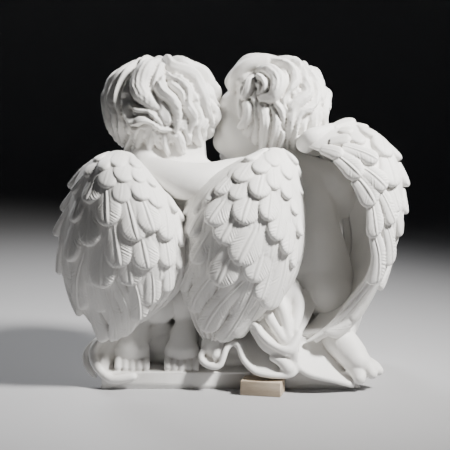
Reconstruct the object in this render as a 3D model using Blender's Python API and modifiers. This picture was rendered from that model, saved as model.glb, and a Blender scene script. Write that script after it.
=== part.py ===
"""Two winged cherubs cast in one piece with a draped plinth, and the wooden block that props its overhang.

The cast is built up as a sculptor builds it: balls and rolls of clay for the flesh, fused and smoothed, and
then wings, feathers, locks, toes and cloth laid on it and fused again. The plinth is joined to it last.
The figures face +Y, and their backs and wings face -Y. The origin is the centre of the plinth's underside.
"""

import functools
import math

import bmesh
import bpy
import numpy as np
from mathutils import Euler

# Driving sizes, in metres
FIGURE_HEIGHT = 0.2826
PLINTH_LENGTH = 0.219
PLINTH_DEPTH = 0.146
PLINTH_THICKNESS = 0.0145
PLINTH_EDGE = 0.0012
BLOCK_LENGTH = 0.0345
BLOCK_DEPTH = 0.022
BLOCK_HEIGHT = 0.0125
BLOCK_EDGE = 0.0006
BLOCK_OFFSET = 0.0275
BLOCK_TURN = math.radians(-12)
CLEARANCE = 0.0003

# The figures are drawn on a squared grid this many squares high, and their places are counted in its squares
GRID_HEIGHT = 320
UNIT = FIGURE_HEIGHT / GRID_HEIGHT

# Fineness of the skin, in squares, and the triangles that the finished cast keeps
FLESH_VOXEL = 2.6
FLESH_SMOOTHING = 10
CLOTH_VOXEL = 1.8
CLOTH_SMOOTHING = 3
SKIN_VOXEL = 1.9
SKIN_SMOOTHING = 1
CAST_TRIANGLES = 9300

# Fineness of the clay before it is fused
BALL_FINENESS = 2
HAIR_FINENESS = 5
ROLL_STEP = 0.3
GUIDE_STEPS = 61
LOCK_STEP = 1.2
SHELL_STEPS = 25
SHEET_STEPS = 40
SHEET_DEPTH_STEPS = 9
FEATHER_STEPS = 9
FEATHER_RIBS = 7

# Relief, in squares
FEATHER_SINK = 3.0
GROOVE_DEPTH = 4.5

# Waves of hair from the crown, all the way round
HAIR_WAVES = 14

WHITE = (0.86, 0.85, 0.83, 1.0)
WOOD = (0.62, 0.52, 0.40, 1.0)


def collection(name):
    made = bpy.data.collections.new(name)
    bpy.context.scene.collection.children.link(made)
    return made


def material(name, colour, roughness):
    made = bpy.data.materials.new(name)
    made.use_nodes = True
    shader = made.node_tree.nodes["Principled BSDF"]
    shader.inputs["Base Color"].default_value = colour
    shader.inputs["Roughness"].default_value = roughness
    shader.inputs["Metallic"].default_value = 0.0
    return made


def unit(vectors):
    return vectors / np.maximum(np.linalg.norm(vectors, axis=-1, keepdims=True), 1e-9)


def smooth_line(points, count):
    """Count points, evenly spaced on a smooth curve through a few. Points may carry a radius as well."""
    points = np.asarray(points, float)
    spans = len(points) - 1
    ends = np.vstack([2 * points[0] - points[1], points, 2 * points[-1] - points[-2]])
    at = np.linspace(0, spans, 24 * spans + 1)
    span = np.minimum(at.astype(int), spans - 1)
    t = (at - span)[:, None]
    a, b, c, d = (ends[span + k] for k in range(4))
    fine = 0.5 * (2 * b + (c - a) * t + (2 * a - 5 * b + 4 * c - d) * t**2 + (3 * b - a - 3 * c + d) * t**3)
    steps = np.linalg.norm(np.diff(fine[:, :3], axis=0), axis=1)
    reach = np.concatenate([[0], np.cumsum(steps)])
    even = np.linspace(0, reach[-1], count)
    return np.stack([np.interp(even, reach, column) for column in fine.T], axis=1)


def along_line(line, share):
    """The place at a share of a line's length. Shares past its ends run straight on."""
    at = np.asarray(share) * (len(line) - 1)
    low = np.clip(at.astype(int), 0, len(line) - 2)
    return line[low] + (at - low)[..., None] * (line[low + 1] - line[low])


def ramp(value, low, high):
    """Nought below low and one above high, with a smooth rise between them."""
    share = np.clip((value - low) / (high - low), 0, 1)
    return share * share * (3 - 2 * share)


# Clay


class Clay:
    """Lumps of clay, each a closed mesh, that are kept apart until they are fused."""

    def __init__(self):
        self.points, self.faces, self.count = [], [], 0

    def add(self, points, faces):
        self.points.append(points)
        self.faces.extend((np.asarray(faces) + self.count).tolist())
        self.count += len(points)


@functools.cache
def unit_ball(fineness):
    """The points and faces of a ball of radius one."""
    ball = bmesh.new()
    bmesh.ops.create_icosphere(ball, subdivisions=fineness, radius=1)
    points = np.array([point.co for point in ball.verts])
    faces = np.array([[point.index for point in face.verts] for face in ball.faces])
    ball.free()
    return points, faces


def add_ball(clay, centre, radii, turn=(0, 0, 0), fineness=3):
    """A ball or an egg of clay. Turns are in degrees."""
    points, faces = unit_ball(fineness)
    turned = np.array(Euler([math.radians(angle) for angle in turn]).to_matrix())
    clay.add((points * radii) @ turned.T + centre, faces)


def add_roll(clay, *stations, fineness=BALL_FINENESS):
    """A roll of clay through stations of x, y, z and radius."""
    stations = np.asarray(stations, float)
    length = np.linalg.norm(np.diff(stations[:, :3], axis=0), axis=1).sum()
    count = max(3, int(length / (ROLL_STEP * stations[:, 3].min())))
    for x, y, z, radius in smooth_line(stations, count):
        add_ball(clay, (x, y, z), radius, fineness=fineness)


def add_slab(clay, top, under):
    """The solid between two grids of points of the same shape."""
    rings = np.concatenate([top, under[:, ::-1]], axis=1)
    count, around = rings.shape[:2]
    index = np.arange(count * around).reshape(count, around)
    after = np.roll(index, -1, axis=1)
    sides = np.stack([index[:-1], after[:-1], after[1:], index[1:]], axis=-1).reshape(-1, 4)
    ends = index[[0, -1]]
    near, far = ends[:, :around // 2], ends[:, ::-1][:, :around // 2]
    caps = np.stack([near[:, :-1], near[:, 1:], far[:, 1:], far[:, :-1]], axis=-1).reshape(-1, 4)
    clay.add(rings.reshape(-1, 3), np.concatenate([sides, caps]))


def fuse(clay, name, voxel, smoothing):
    """One closed skin round all the clay."""
    mesh = bpy.data.meshes.new(name)
    mesh.from_pydata(np.concatenate(clay.points) * UNIT, [], clay.faces)
    made = bpy.data.objects.new(name, mesh)
    bpy.context.scene.collection.objects.link(made)
    remesh = made.modifiers.new("skin", "REMESH")
    remesh.mode = "VOXEL"
    remesh.voxel_size = voxel * UNIT
    soften = made.modifiers.new("soften", "SMOOTH")
    soften.factor = 0.5
    soften.iterations = smoothing
    return evaluated_mesh(made)


def evaluated_mesh(made):
    """The mesh that an object's modifiers make of it. The object is removed."""
    mesh = bpy.data.meshes.new_from_object(made.evaluated_get(bpy.context.evaluated_depsgraph_get()))
    bpy.data.objects.remove(made)
    return mesh


def thinned(mesh, triangles):
    """A mesh with its flattest triangles merged until it has so many."""
    mesh.calc_loop_triangles()
    made = bpy.data.objects.new("thinned", mesh)
    bpy.context.scene.collection.objects.link(made)
    fewer = made.modifiers.new("fewer triangles", "DECIMATE")
    fewer.ratio = triangles / len(mesh.loop_triangles)
    fewer.use_collapse_triangulate = True
    return evaluated_mesh(made)


def mesh_arrays(mesh):
    """A mesh's points, in squares of the grid, and its faces."""
    points = np.empty(len(mesh.vertices) * 3)
    mesh.vertices.foreach_get("co", points)
    faces = np.empty(len(mesh.loops), int)
    mesh.loops.foreach_get("vertex_index", faces)
    return points.reshape(-1, 3) / UNIT, faces.reshape(-1, 4)


# Wings: each is an arched shell between its first edge, its crest and its last edge, from root to tip

LEFT_WING = dict(
    first=(
        (-116, -46, 224), (-141, -42, 208), (-158, -38, 173), (-165, -38, 140),
        (-163, -38, 110), (-152, -42, 84), (-136, -50, 64), (-118, -62, 48),
    ),
    crest=(
        (-105, -58, 229), (-106, -90, 214), (-103, -104, 188), (-102, -110, 150),
        (-101, -106, 112), (-102, -94, 78), (-108, -78, 52),
    ),
    last=(
        (-94, -50, 222), (-70, -54, 193), (-50, -60, 167), (-42, -62, 133),
        (-44, -64, 108), (-58, -68, 88), (-84, -72, 68),
    ),
)
MIDDLE_WING = dict(
    first=(
        (26, -44, 222), (-6, -48, 207), (-34, -52, 188), (-45, -56, 160),
        (-48, -60, 122), (-44, -62, 90), (-34, -66, 62), (-22, -72, 46),
    ),
    crest=(
        (38, -56, 231), (30, -86, 214), (23, -102, 187), (16, -110, 150),
        (6, -106, 107), (-5, -92, 70), (-14, -80, 46),
    ),
    last=(
        (50, -44, 227), (64, -46, 212), (70, -48, 180), (70, -50, 140),
        (61, -54, 104), (40, -62, 76), (14, -72, 56), (-6, -78, 44),
    ),
)
RIGHT_WING = dict(
    first=(
        (66, -40, 232), (80, -62, 232), (97, -80, 226), (113, -88, 213), (124, -92, 199), (131, -94, 182),
        (134, -96, 156), (135, -94, 130), (128, -90, 106), (114, -84, 86), (102, -80, 71), (88, -78, 57),
        (73, -76, 46),
    ),
    crest=(
        (62, -30, 240), (90, -24, 249), (116, -22, 251), (139, -30, 242), (152, -34, 231), (161, -38, 216),
        (166, -40, 195), (165, -44, 164), (157, -50, 136), (146, -54, 110), (131, -60, 85), (112, -66, 64),
        (86, -72, 48),
    ),
    last=(
        (58, -16, 230), (84, 0, 228), (106, 8, 200), (118, 6, 160), (122, 0, 120),
        (111, -16, 86), (98, -34, 70), (84, -46, 58), (68, -62, 44),
    ),
)

# Wing shells: their thickness, in squares, and the share of the arch that is hollow inside them
CLOSED_SHELL = dict(thickness=5, hollow=0.15)
CUPPED_SHELL = dict(thickness=6, hollow=1.0)

# Rows of feathers, lowest first: where the tips lie, the length, how many, and how far the tips stand up
CLOSED_PLUMES = (
    (1.0, 0.55, 8, 7), (0.84, 0.45, 7, 9), (0.68, 0.38, 7, 10), (0.52, 0.3, 7, 10),
    (0.38, 0.22, 6, 10), (0.26, 0.16, 6, 9), (0.15, 0.11, 5, 8),
)
CUPPED_PLUMES = (
    (1.0, 0.5, 7, 7), (0.83, 0.38, 7, 8), (0.66, 0.34, 7, 9), (0.5, 0.28, 7, 9),
    (0.36, 0.2, 6, 8.5), (0.24, 0.14, 6, 8), (0.14, 0.11, 5, 7),
)


def wing_face(first, crest, last):
    """The outer face of a wing: half an ellipse from edge to edge over a crest, from root to tip."""
    edge, ridge, far = (smooth_line(line, GUIDE_STEPS) for line in (first, crest, last))

    def face(s, t):
        s, t = np.broadcast_arrays(np.asarray(s, float), np.asarray(t, float))
        left, top, right = (along_line(line, s) for line in (edge, ridge, far))
        middle = (left + right) / 2
        angle = math.pi * t[..., None]
        return middle - np.cos(angle) * (right - left) / 2 + np.sin(angle) * (top - middle)

    return face


def lay_on(face, s, t, height):
    """Points at a height over a face, at shares s of its length and t of its breadth."""
    step = 0.01
    down = face(s + step, t) - face(s - step, t)
    across = face(s, t + step) - face(s, t - step)
    return face(s, t) + unit(np.cross(down, across)) * np.asarray(height)[..., None]


def add_feather(clay, face, root, tip, half_width, lift):
    """A feather that lies on a face at its root and stands clear of it at its round tip."""
    root, tip = np.asarray(root), np.asarray(tip)
    length = np.linalg.norm(face(*tip) - face(*root))
    round_from = 1 - min(0.55, 1.15 * half_width / length)
    u = np.linspace(0, 1, FEATHER_STEPS)[:, None]
    u = 0.995 * (1 - (1 - u) ** 1.5)
    v = np.linspace(-1, 1, FEATHER_RIBS)[None, :]
    rounding = np.clip((u - round_from) / (1 - round_from), 0, 1)
    half = half_width * (0.7 + 0.3 * np.minimum(u / round_from, 1)) * np.sqrt(1 - rounding**2.2)
    s, t = (root[k] + (tip[k] - root[k]) * u for k in range(2))
    step = 0.01
    down = np.linalg.norm(face(s + step, t) - face(s - step, t), axis=-1) / (2 * step)
    across = np.linalg.norm(face(s, t + step) - face(s, t - step), axis=-1) / (2 * step)
    run = np.stack([(tip[0] - root[0]) * down, (tip[1] - root[1]) * across])
    run = run / np.linalg.norm(run, axis=0)
    s = s - v * half * run[1] / down
    t = t + v * half * run[0] / across
    height = lift * u**1.6 * (1 - 0.35 * v**2) * (1 - 0.2 * rounding**3)
    add_slab(clay, lay_on(face, s, t, height), lay_on(face, s, t, np.full(height.shape, -FEATHER_SINK)))


def add_wing(clay, guides, plumes, thickness, hollow):
    """A wing's shell with its plumage. Hollow is the share of the shell's arch that is open inside it."""
    face = wing_face(**guides)
    s = np.linspace(0, 1, SHELL_STEPS)[:, None]
    t = np.linspace(0, 1, SHELL_STEPS)[None, :]
    outer = lay_on(face, s, t, np.zeros((SHELL_STEPS, SHELL_STEPS)))
    base = (face(s, 0 * t) + face(s, 0 * t + 1)) / 2
    chord = base - np.cos(math.pi * t)[..., None] * (face(s, 0 * t + 1) - face(s, 0 * t)) / 2
    inner = chord + (outer - chord) * hollow
    inner = inner + unit(inner - lay_on(face, s, t, np.ones((SHELL_STEPS, SHELL_STEPS)))) * thickness
    add_slab(clay, outer, inner)
    for row, (tips, length, count, lift) in enumerate(plumes):
        for k in range(-1, count + 1):
            t_tip = (k + 0.5 + 0.5 * (row % 2)) / count
            if not 0.0 <= t_tip <= 1.0:
                continue
            waver = math.sin(2.3 * k + 1.7 * row)
            s_tip = tips + 0.018 * waver
            t_root = 0.5 + (t_tip - 0.5) * 0.96
            spacing = np.linalg.norm(face(s_tip, t_tip + 0.5 / count) - face(s_tip, t_tip - 0.5 / count))
            add_feather(clay, face, (s_tip - length, t_root), (s_tip, t_tip), 0.6 * spacing, lift)


# Heads: places on them are counted from the head's centre to the right and up, as seen from behind the pair

LEFT_HEAD = dict(centre=(-68.5, -4, 266), radii=(56, 50, 49), face=(0, 0, 0), facing=18)
RIGHT_HEAD = dict(centre=(48, 4, 266), radii=(48, 46, 49), face=(-16, 4, -12), facing=62)

# The height that the eye looks from, over the level, when places on a head are counted from behind the pair
EYE_RISE = math.radians(9)

# Locks of hair, lowest first: width, height, and the places that each passes through
LEFT_LOCKS = (
    (15, 8, (8, 50), (22, 42), (36, 36), (48, 24), (56, 8), (60, -8)),
    (13, 7, (46, 8), (54, -6), (50, -20), (44, -34)),
    (14, 8, (2, 50), (10, 40), (24, 33), (36, 25), (42, 10), (46, -4), (50, -20)),
    (12, 7, (36, 0), (40, -14), (35, -26), (38, -42)),
    (12, 7, (27, -12), (28, -28), (22, -42), (22, -52)),
    (13, 8, (0, 42), (6, 27), (16, 19), (25, 13), (27, 0), (33, -12), (29, -26)),
    (8, 5, (3, 24), (14, 17), (21, 10), (23, -2)),
    (11, 6, (-49, 16), (-51, -8), (-45, -26), (-40, -46)),
    (10, 6, (-42, 14), (-43, -14), (-36, -30), (-32, -48)),
    (9, 6, (-35, 12), (-35, -12), (-29, -26), (-27, -38)),
    (9, 9, (-27, -28), (-30, -42), (-27, -58)),
    (9, 9, (-17, -26), (-20, -40), (-17, -58)),
    (9, 9, (-8, -26), (-9, -42), (-4, -58)),
    (9, 9, (4, -24), (6, -38), (14, -54)),
    (12, 9, (0, -24), (12, -25), (20, -36), (16, -48), (4, -51)),
    (8, 5, (-5, 52), (-18, 38), (-28, 24), (-29, 8)),
    (8, 5, (-10, 52), (-26, 36), (-35, 22), (-34, 8)),
    (8, 5, (-16, 52), (-34, 34), (-42, 20), (-40, 8)),
    (8, 5, (-22, 50), (-41, 32), (-49, 18), (-47, 4)),
    (9, 5, (-30, 47), (-48, 28), (-56, 14), (-54, 0)),
    (9, 5, (-58, 18), (-60, 4), (-54, -12)),
    (10, 8, (-31, 6), (-32, -8), (-25, -17), (-15, -15), (-6, -17), (2, -24), (15, -24)),
    (8, 7, (-30, 4), (-21, -5), (-11, -6), (-4, -12), (3, -20)),
    (14, 9, (-1, 49), (-2, 30), (3, 13), (13, 3), (18, -10), (16, -26)),
    (23, 11, (-3, 49), (-11, 35), (-18, 22), (-18, 11), (-12, 4), (-3, -4)),
    (9, 6, (3, 50), (1, 38), (-2, 26), (-7, 14)),
)
RIGHT_LOCKS = (
    (16, 7, (14, 52), (36, 38), (46, 22), (47, 2), (44, -16), (42, -30)),
    (15, 8, (24, 44), (25, 32), (34, 14), (31, -2), (18, -9), (14, -28), (15, -44)),
    (12, 6, (40, 2), (33, -14), (30, -34)),
    (10, 6, (46, -6), (44, -20), (40, -32)),
    (10, 6, (26, -12), (22, -28), (22, -42)),
    (9, 6, (-45, -2), (-43, -14), (-40, -26)),
    (11, 8, (-36, 8), (-30, -6), (-33, -18), (-41, -22)),
    (9, 7, (-40, -24), (-33, -34), (-32, -42)),
    (10, 8, (-2, -6), (3, -22), (0, -40), (1, -48)),
    (11, 8, (-10, 2), (-3, -14), (-6, -36), (-8, -47)),
    (12, 8, (-21, 3), (-14, -14), (-15, -34), (-17, -45)),
    (13, 8, (0, 49), (15, 43), (19, 31), (27, 11), (14, -3), (10, -16), (8, -36)),
    (12, 8, (-19, 44), (-1, 40), (12, 31), (15, 21), (6, 11), (2, -1), (7, -8)),
    (9, 8, (-18, 39), (-1, 33), (5, 24), (2, 13), (-5, 4), (2, -10), (4, -24)),
    (17, 11, (-25, 31), (-10, 31), (-2, 21), (-6, 7), (-19, 4)),
    (7, 10, (-26, 29), (-17, 24), (-14, 14), (-19, 7)),
    (11, 8, (-26, 31), (-28, 18), (-34, 7), (-37, 16)),
    (14, 8, (-10, 48), (-26, 41), (-38, 30), (-44, 18), (-46, 6)),
)


def opened_out(rays):
    """Places over a ball in the plane seen from behind, its far side opened out round it, in radians."""
    near = rays[:, 2] * math.sin(EYE_RISE) - rays[:, 1] * math.cos(EYE_RISE)
    rise = rays[:, 1] * math.sin(EYE_RISE) + rays[:, 2] * math.cos(EYE_RISE)
    angle = np.arccos(np.clip(near, -1, 1))
    heading = np.arctan2(rise, rays[:, 0])
    return np.stack([angle * np.cos(heading), angle * np.sin(heading)], axis=1)


def lay_lock(height, plane, size, radii, width, crest, places):
    """Lays one thick lock over the hair so far, in a groove of its own."""
    seen = np.array(places, float) / (radii[0], radii[2])
    reach = np.linalg.norm(seen, axis=1, keepdims=True)
    near, far = np.arcsin(np.clip(reach, 0, 1)), math.pi - np.arcsin(np.clip(2 - reach, 0, 1))
    angle = np.where(reach <= 1, near, far)
    guide = np.column_stack([seen / reach * angle * size, np.zeros(len(seen))])
    count = int(np.linalg.norm(np.diff(guide, axis=0), axis=1).sum() / LOCK_STEP)
    line = smooth_line(guide, count)[:, :2]
    u = np.linspace(0, 1, count)
    half = width / 2 * (0.25 + 0.75 * np.sin(math.pi * (0.12 + 0.86 * u)) ** 0.7)
    close = np.flatnonzero(((plane > line.min(0) - width) & (plane < line.max(0) + width)).all(1))
    gap = plane[close, None] - line
    share = np.linalg.norm(gap, axis=2) / half
    nearest = share.argmin(1)
    share = share[np.arange(len(close)), nearest]
    full = (half[nearest] / (width / 2)) ** 0.8 * ramp(u[nearest], -0.12, 0.36)
    top = crest * full * (1 - np.clip(share, 0, 1) ** 2.6) ** 0.75
    over = share < 1
    old = height[close]
    groove = GROOVE_DEPTH * np.exp(-(((share - 1.05) / 0.3) ** 2)) * full
    height[close] = np.where(over, 0.12 * np.maximum(old, 0) + top - 1.5, np.maximum(old - groove, -4.5))


def add_hair(clay, centre, radii, face, facing, locks):
    """Wavy locks from the crown all round the skull, and over them the locks that are seen from behind."""
    rays, faces = unit_ball(HAIR_FINENESS)
    turn = math.radians(facing)
    front = rays @ np.array([-math.sin(turn), math.cos(turn), 0])
    around = np.arctan2(rays[:, 1], rays[:, 0])
    down = np.arccos(np.clip(rays[:, 2], -1, 1))
    swing = 1.5 * np.sin(6.5 * down + np.sin(3 * around)) + 0.8 * np.sin(11 * down + 2 * around)
    wave = HAIR_WAVES * around + swing
    height = 4.6 * np.abs(np.sin(wave / 2)) ** 0.55 - 2.0
    height = height * ramp(down, 0.0, 0.35)
    size = sum(radii) / 3
    plane = opened_out(rays) * size
    for width, crest, *places in locks:
        lay_lock(height, plane, size, radii, width, crest, places)
    bare = ramp(front, 0.42, 0.6) * (1 - ramp(rays[:, 2], 0.3, 0.5)) + ramp(-rays[:, 2], 0.9, 0.98)
    height = height * (1 - np.clip(bare, 0, 1)) - 9 * np.clip(bare, 0, 1)
    skull = rays * radii
    clay.add(skull + unit(rays / radii) * height[:, None] + centre, faces)


def face_frame(centre, face, facing):
    """A way to count places on a face: to its own right, forward and up from the middle of the head."""
    turn = math.radians(facing)
    middle = np.array(centre) + np.array(face)
    axes = np.array([[math.cos(turn), math.sin(turn), 0], [-math.sin(turn), math.cos(turn), 0], [0, 0, 1]])
    return lambda right, front, up: middle + np.array([right, front, up]) @ axes


def add_head(clay, centre, radii, face, facing):
    """A skull, with the soft masses of a child's face turned away from the wings."""
    across, deep, tall = radii
    at = face_frame(centre, face, facing)
    add_ball(clay, centre, (across - 4, deep - 4, tall - 4), fineness=4)
    add_ball(clay, at(0, 13, -14), (37, 36, 36), (0, 0, facing))
    add_ball(clay, at(0, 24, 6), (32, 21, 24), (0, 0, facing))
    for hand in (-1, 1):
        add_ball(clay, at(19 * hand, 27, -23), (17, 16, 15))
    add_ball(clay, at(0, 33, -40), (14, 13, 10))


def add_features(clay, centre, face, facing, **_):
    """Closed eyes, nose, lips and chin, at a child's plain proportions."""
    at = face_frame(centre, face, facing)

    def stroke(*stations):
        add_roll(clay, *(np.append(at(x, front, up), radius) for x, front, up, radius in stations))

    stroke((0, 47, -3, 3.5), (0, 50, -11, 4), (0, 53, -17, 5))
    for hand in (-1, 1):
        add_ball(clay, at(5 * hand, 50, -18), (3.8, 3.8, 3.4))
        add_ball(clay, at(15 * hand, 41.5, -5), (9, 6, 5.5), (0, 0, facing + 14 * hand))
        stroke((7 * hand, 46, -6, 1.3), (14 * hand, 46.5, -8.5, 1.5), (22 * hand, 41.5, -6, 1.3))
        stroke((6 * hand, 46.5, 4, 2), (14 * hand, 45.5, 7, 2.4), (23 * hand, 39, 4, 2))
        stroke((0, 47.5, -27, 2.2), (5 * hand, 47, -26.5, 2.4), (11 * hand, 43.5, -28.5, 1.5))
        stroke((0, 46.5, -31.5, 2.6), (5 * hand, 45.5, -31.5, 2.4), (10 * hand, 43, -29.5, 1.5))


# Bodies


def add_flesh(clay):
    # Left child, kneeling
    add_ball(clay, (-62, -16, 86), (42, 34, 32))
    add_ball(clay, (-72, -40, 78), (23, 22, 23))
    add_ball(clay, (-45, -40, 80), (21, 22, 22))
    add_roll(clay, (-62, -12, 96, 38), (-58, -14, 140, 37), (-54, -14, 178, 38), (-52, -14, 198, 30))
    add_roll(clay, (-98, -18, 196, 17), (-60, -20, 206, 19), (-28, -24, 200, 17))
    add_roll(clay, (-56, -18, 206, 23), (-54, -12, 240, 22))
    add_roll(clay, (-42, -16, 204, 20), (-43, -8, 236, 19))
    add_roll(clay, (-80, -12, 78, 30), (-98, 26, 56, 27), (-108, 50, 38, 22))
    add_roll(clay, (-44, -12, 80, 29), (-38, 26, 58, 26), (-34, 50, 40, 22))
    add_roll(clay, (-108, 50, 32, 18), (-98, 0, 32, 18), (-90, -40, 44, 15))
    add_roll(clay, (-34, 50, 32, 18), (-40, 0, 32, 18), (-45, -40, 42, 15))
    add_ball(clay, (-82, -34, 218), (16, 13, 14))
    add_ball(clay, (-45, -30, 166), (17, 20, 32))
    # Right child, leaning to the left one
    add_ball(clay, (88, -12, 92), (38, 36, 34))
    add_ball(clay, (96, -30, 84), (26, 24, 25))
    add_roll(clay, (86, -8, 104, 36), (76, -10, 142, 34), (64, -8, 180, 36), (54, -8, 200, 29))
    add_roll(clay, (96, -12, 196, 17), (56, -14, 205, 19), (18, -14, 198, 17))
    add_roll(clay, (46, -10, 204, 21), (44, -2, 240, 20))
    add_roll(clay, (96, -10, 84, 31), (110, 26, 60, 27), (112, 48, 40, 23))
    add_roll(clay, (70, -8, 84, 30), (52, 28, 58, 27), (44, 52, 38, 22))
    add_roll(clay, (112, 48, 32, 19), (108, 0, 34, 18), (100, -44, 40, 15))
    # Arms
    add_roll(
        clay, (-88, -36, 209, 11), (-70, -48, 206, 15), (-50, -56, 200, 18.5), (-32, -58, 199, 18),
        (-15, -56, 205, 13), (5, -50, 211, 10), (28, -44, 214, 9),
    )
    add_roll(clay, (-102, -10, 192, 18), (-120, 14, 150, 16), (-112, 44, 108, 13), (-94, 56, 84, 12))
    add_ball(clay, (-90, 60, 78), (14, 12, 8), (0, 20, 0))
    add_roll(
        clay, (104, -4, 190, 18), (112, 26, 150, 16), (66, 50, 134, 14), (16, 50, 146, 12),
        (-24, 40, 158, 10),
    )
    add_ball(clay, (-38, 35, 162), (17, 8, 12), (0, 0, 20))
    # Chests and bellies
    for x, lean in ((-56, -3), (64, 7)):
        for hand in (-1, 1):
            add_ball(clay, (x + 15 * hand, 10, 174), (19, 16, 19))
        add_ball(clay, (x + lean, 10, 146), (32, 22, 36))
        add_ball(clay, (x + 1.6 * lean, 15, 114), (33, 26, 31))


def add_soles(clay):
    """The kneeling child's soles, upright over tucked toes, and the other's, over the plinth's corner."""
    add_roll(clay, (-86, -44, 66, 12), (-89, -48, 52, 14), (-89, -52, 40, 17))
    add_ball(clay, (-89, -56, 34), (21, 14, 14))
    add_ball(clay, (-89, -58, 27), (22, 13, 10))
    add_roll(clay, (-44, -42, 62, 12), (-44, -48, 50, 14), (-45, -54, 38, 15))
    add_ball(clay, (-45, -57, 32), (17, 14, 14))
    add_ball(clay, (-45, -58, 27), (17, 13, 10))
    add_ball(clay, (-66, -40, 42), (16, 16, 30))
    add_roll(clay, (98, -50, 50, 14), (108, -62, 42, 16), (118, -74, 32, 15))
    add_ball(clay, (124, -80, 26), (15, 14, 12), (0, 30, 0))


def add_toes(clay):
    for k in range(6):
        add_roll(clay, (-107 + 7.4 * k, -68, 21, 4.2), (-107 + 7.4 * k, -69, 15.5 + 0.3 * abs(k - 3), 3.8))
    for k in range(5):
        add_roll(clay, (-60 + 6.8 * k, -68, 22, 4.0), (-60 + 6.8 * k, -69, 16 + 0.4 * abs(k - 2), 3.6))
    add_ball(clay, (124, -91, 15), (8, 10, 8), (0, 0, 25))
    add_ball(clay, (136, -86, 21), (8, 9, 8), (0, 0, 25))
    add_ball(clay, (142, -80, 20), (6, 7, 6.5), (0, 0, 25))


# Cloth

HEM = (
    (-22, -80, 42), (-28, -84, 34), (-26, -90, 28), (-18, -95, 25), (-10, -95, 26), (-6, -92, 35),
    (-3, -88, 42), (3, -84, 46), (8, -86, 43), (11, -92, 35), (15, -98, 29), (24, -104, 22), (34, -107, 20),
    (45, -107, 19), (57, -104, 19), (62, -100, 22), (62, -97, 28), (60, -95, 36), (65, -98, 26),
    (73, -101, 20), (82, -102, 17), (95, -101, 14), (110, -96, 9), (117, -92, 6),
)
HEM_BACK = (
    (-30, -50, 50), (-10, -56, 48), (20, -60, 54), (50, -60, 56), (66, -62, 50), (90, -58, 38),
    (118, -56, 22),
)
RIDGE = (
    (-8, -76, 48), (2, -79, 55), (14, -84, 62), (23, -91, 65), (29, -97, 57), (37, -102, 50),
    (47, -102, 44), (54, -99, 42),
    (62, -94, 50), (66, -88, 55),
)
RIDGE_BACK = ((6, -44, 92), (30, -46, 98), (52, -44, 98), (72, -44, 90), (86, -44, 78))
LEFT_FOLD = (
    (-128, -60, 42), (-133, -66, 35), (-133, -71, 28), (-129, -77, 21), (-122, -82, 14),
    (-114, -86, 10), (-105, -87, 11), (-94, -86, 13),
)
LEFT_FOLD_BACK = (
    (-103, -58, 50), (-109, -56, 37), (-115, -56, 27), (-116, -58, 19), (-113, -62, 13), (-108, -66, 10),
    (-101, -70, 10), (-96, -72, 11),
)
FRONT_FOLDS = 14


def add_sheet(clay, near, far, sag, thickness, steps=SHEET_STEPS):
    """A sheet of cloth from a near edge to a far one, with a thick round hem on the near edge."""
    near = smooth_line(near, steps)
    far = smooth_line(far, steps)
    w = np.linspace(0, 1, SHEET_DEPTH_STEPS)[None, :, None]
    middle = near + np.array([0.0, 12.0, sag])
    top = near[:, None] * (1 - w) ** 2 + 2 * middle[:, None] * w * (1 - w) + far[:, None] * w**2
    down = np.cross(np.gradient(top, axis=0), np.gradient(top, axis=1))
    down = unit(down) * np.where(down[..., 2:] > 0, -1, 1)
    add_slab(clay, top - down * thickness / 2, top + down * thickness / 2)
    add_roll(clay, *np.column_stack([near, np.full(steps, 0.62 * thickness)]))


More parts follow.
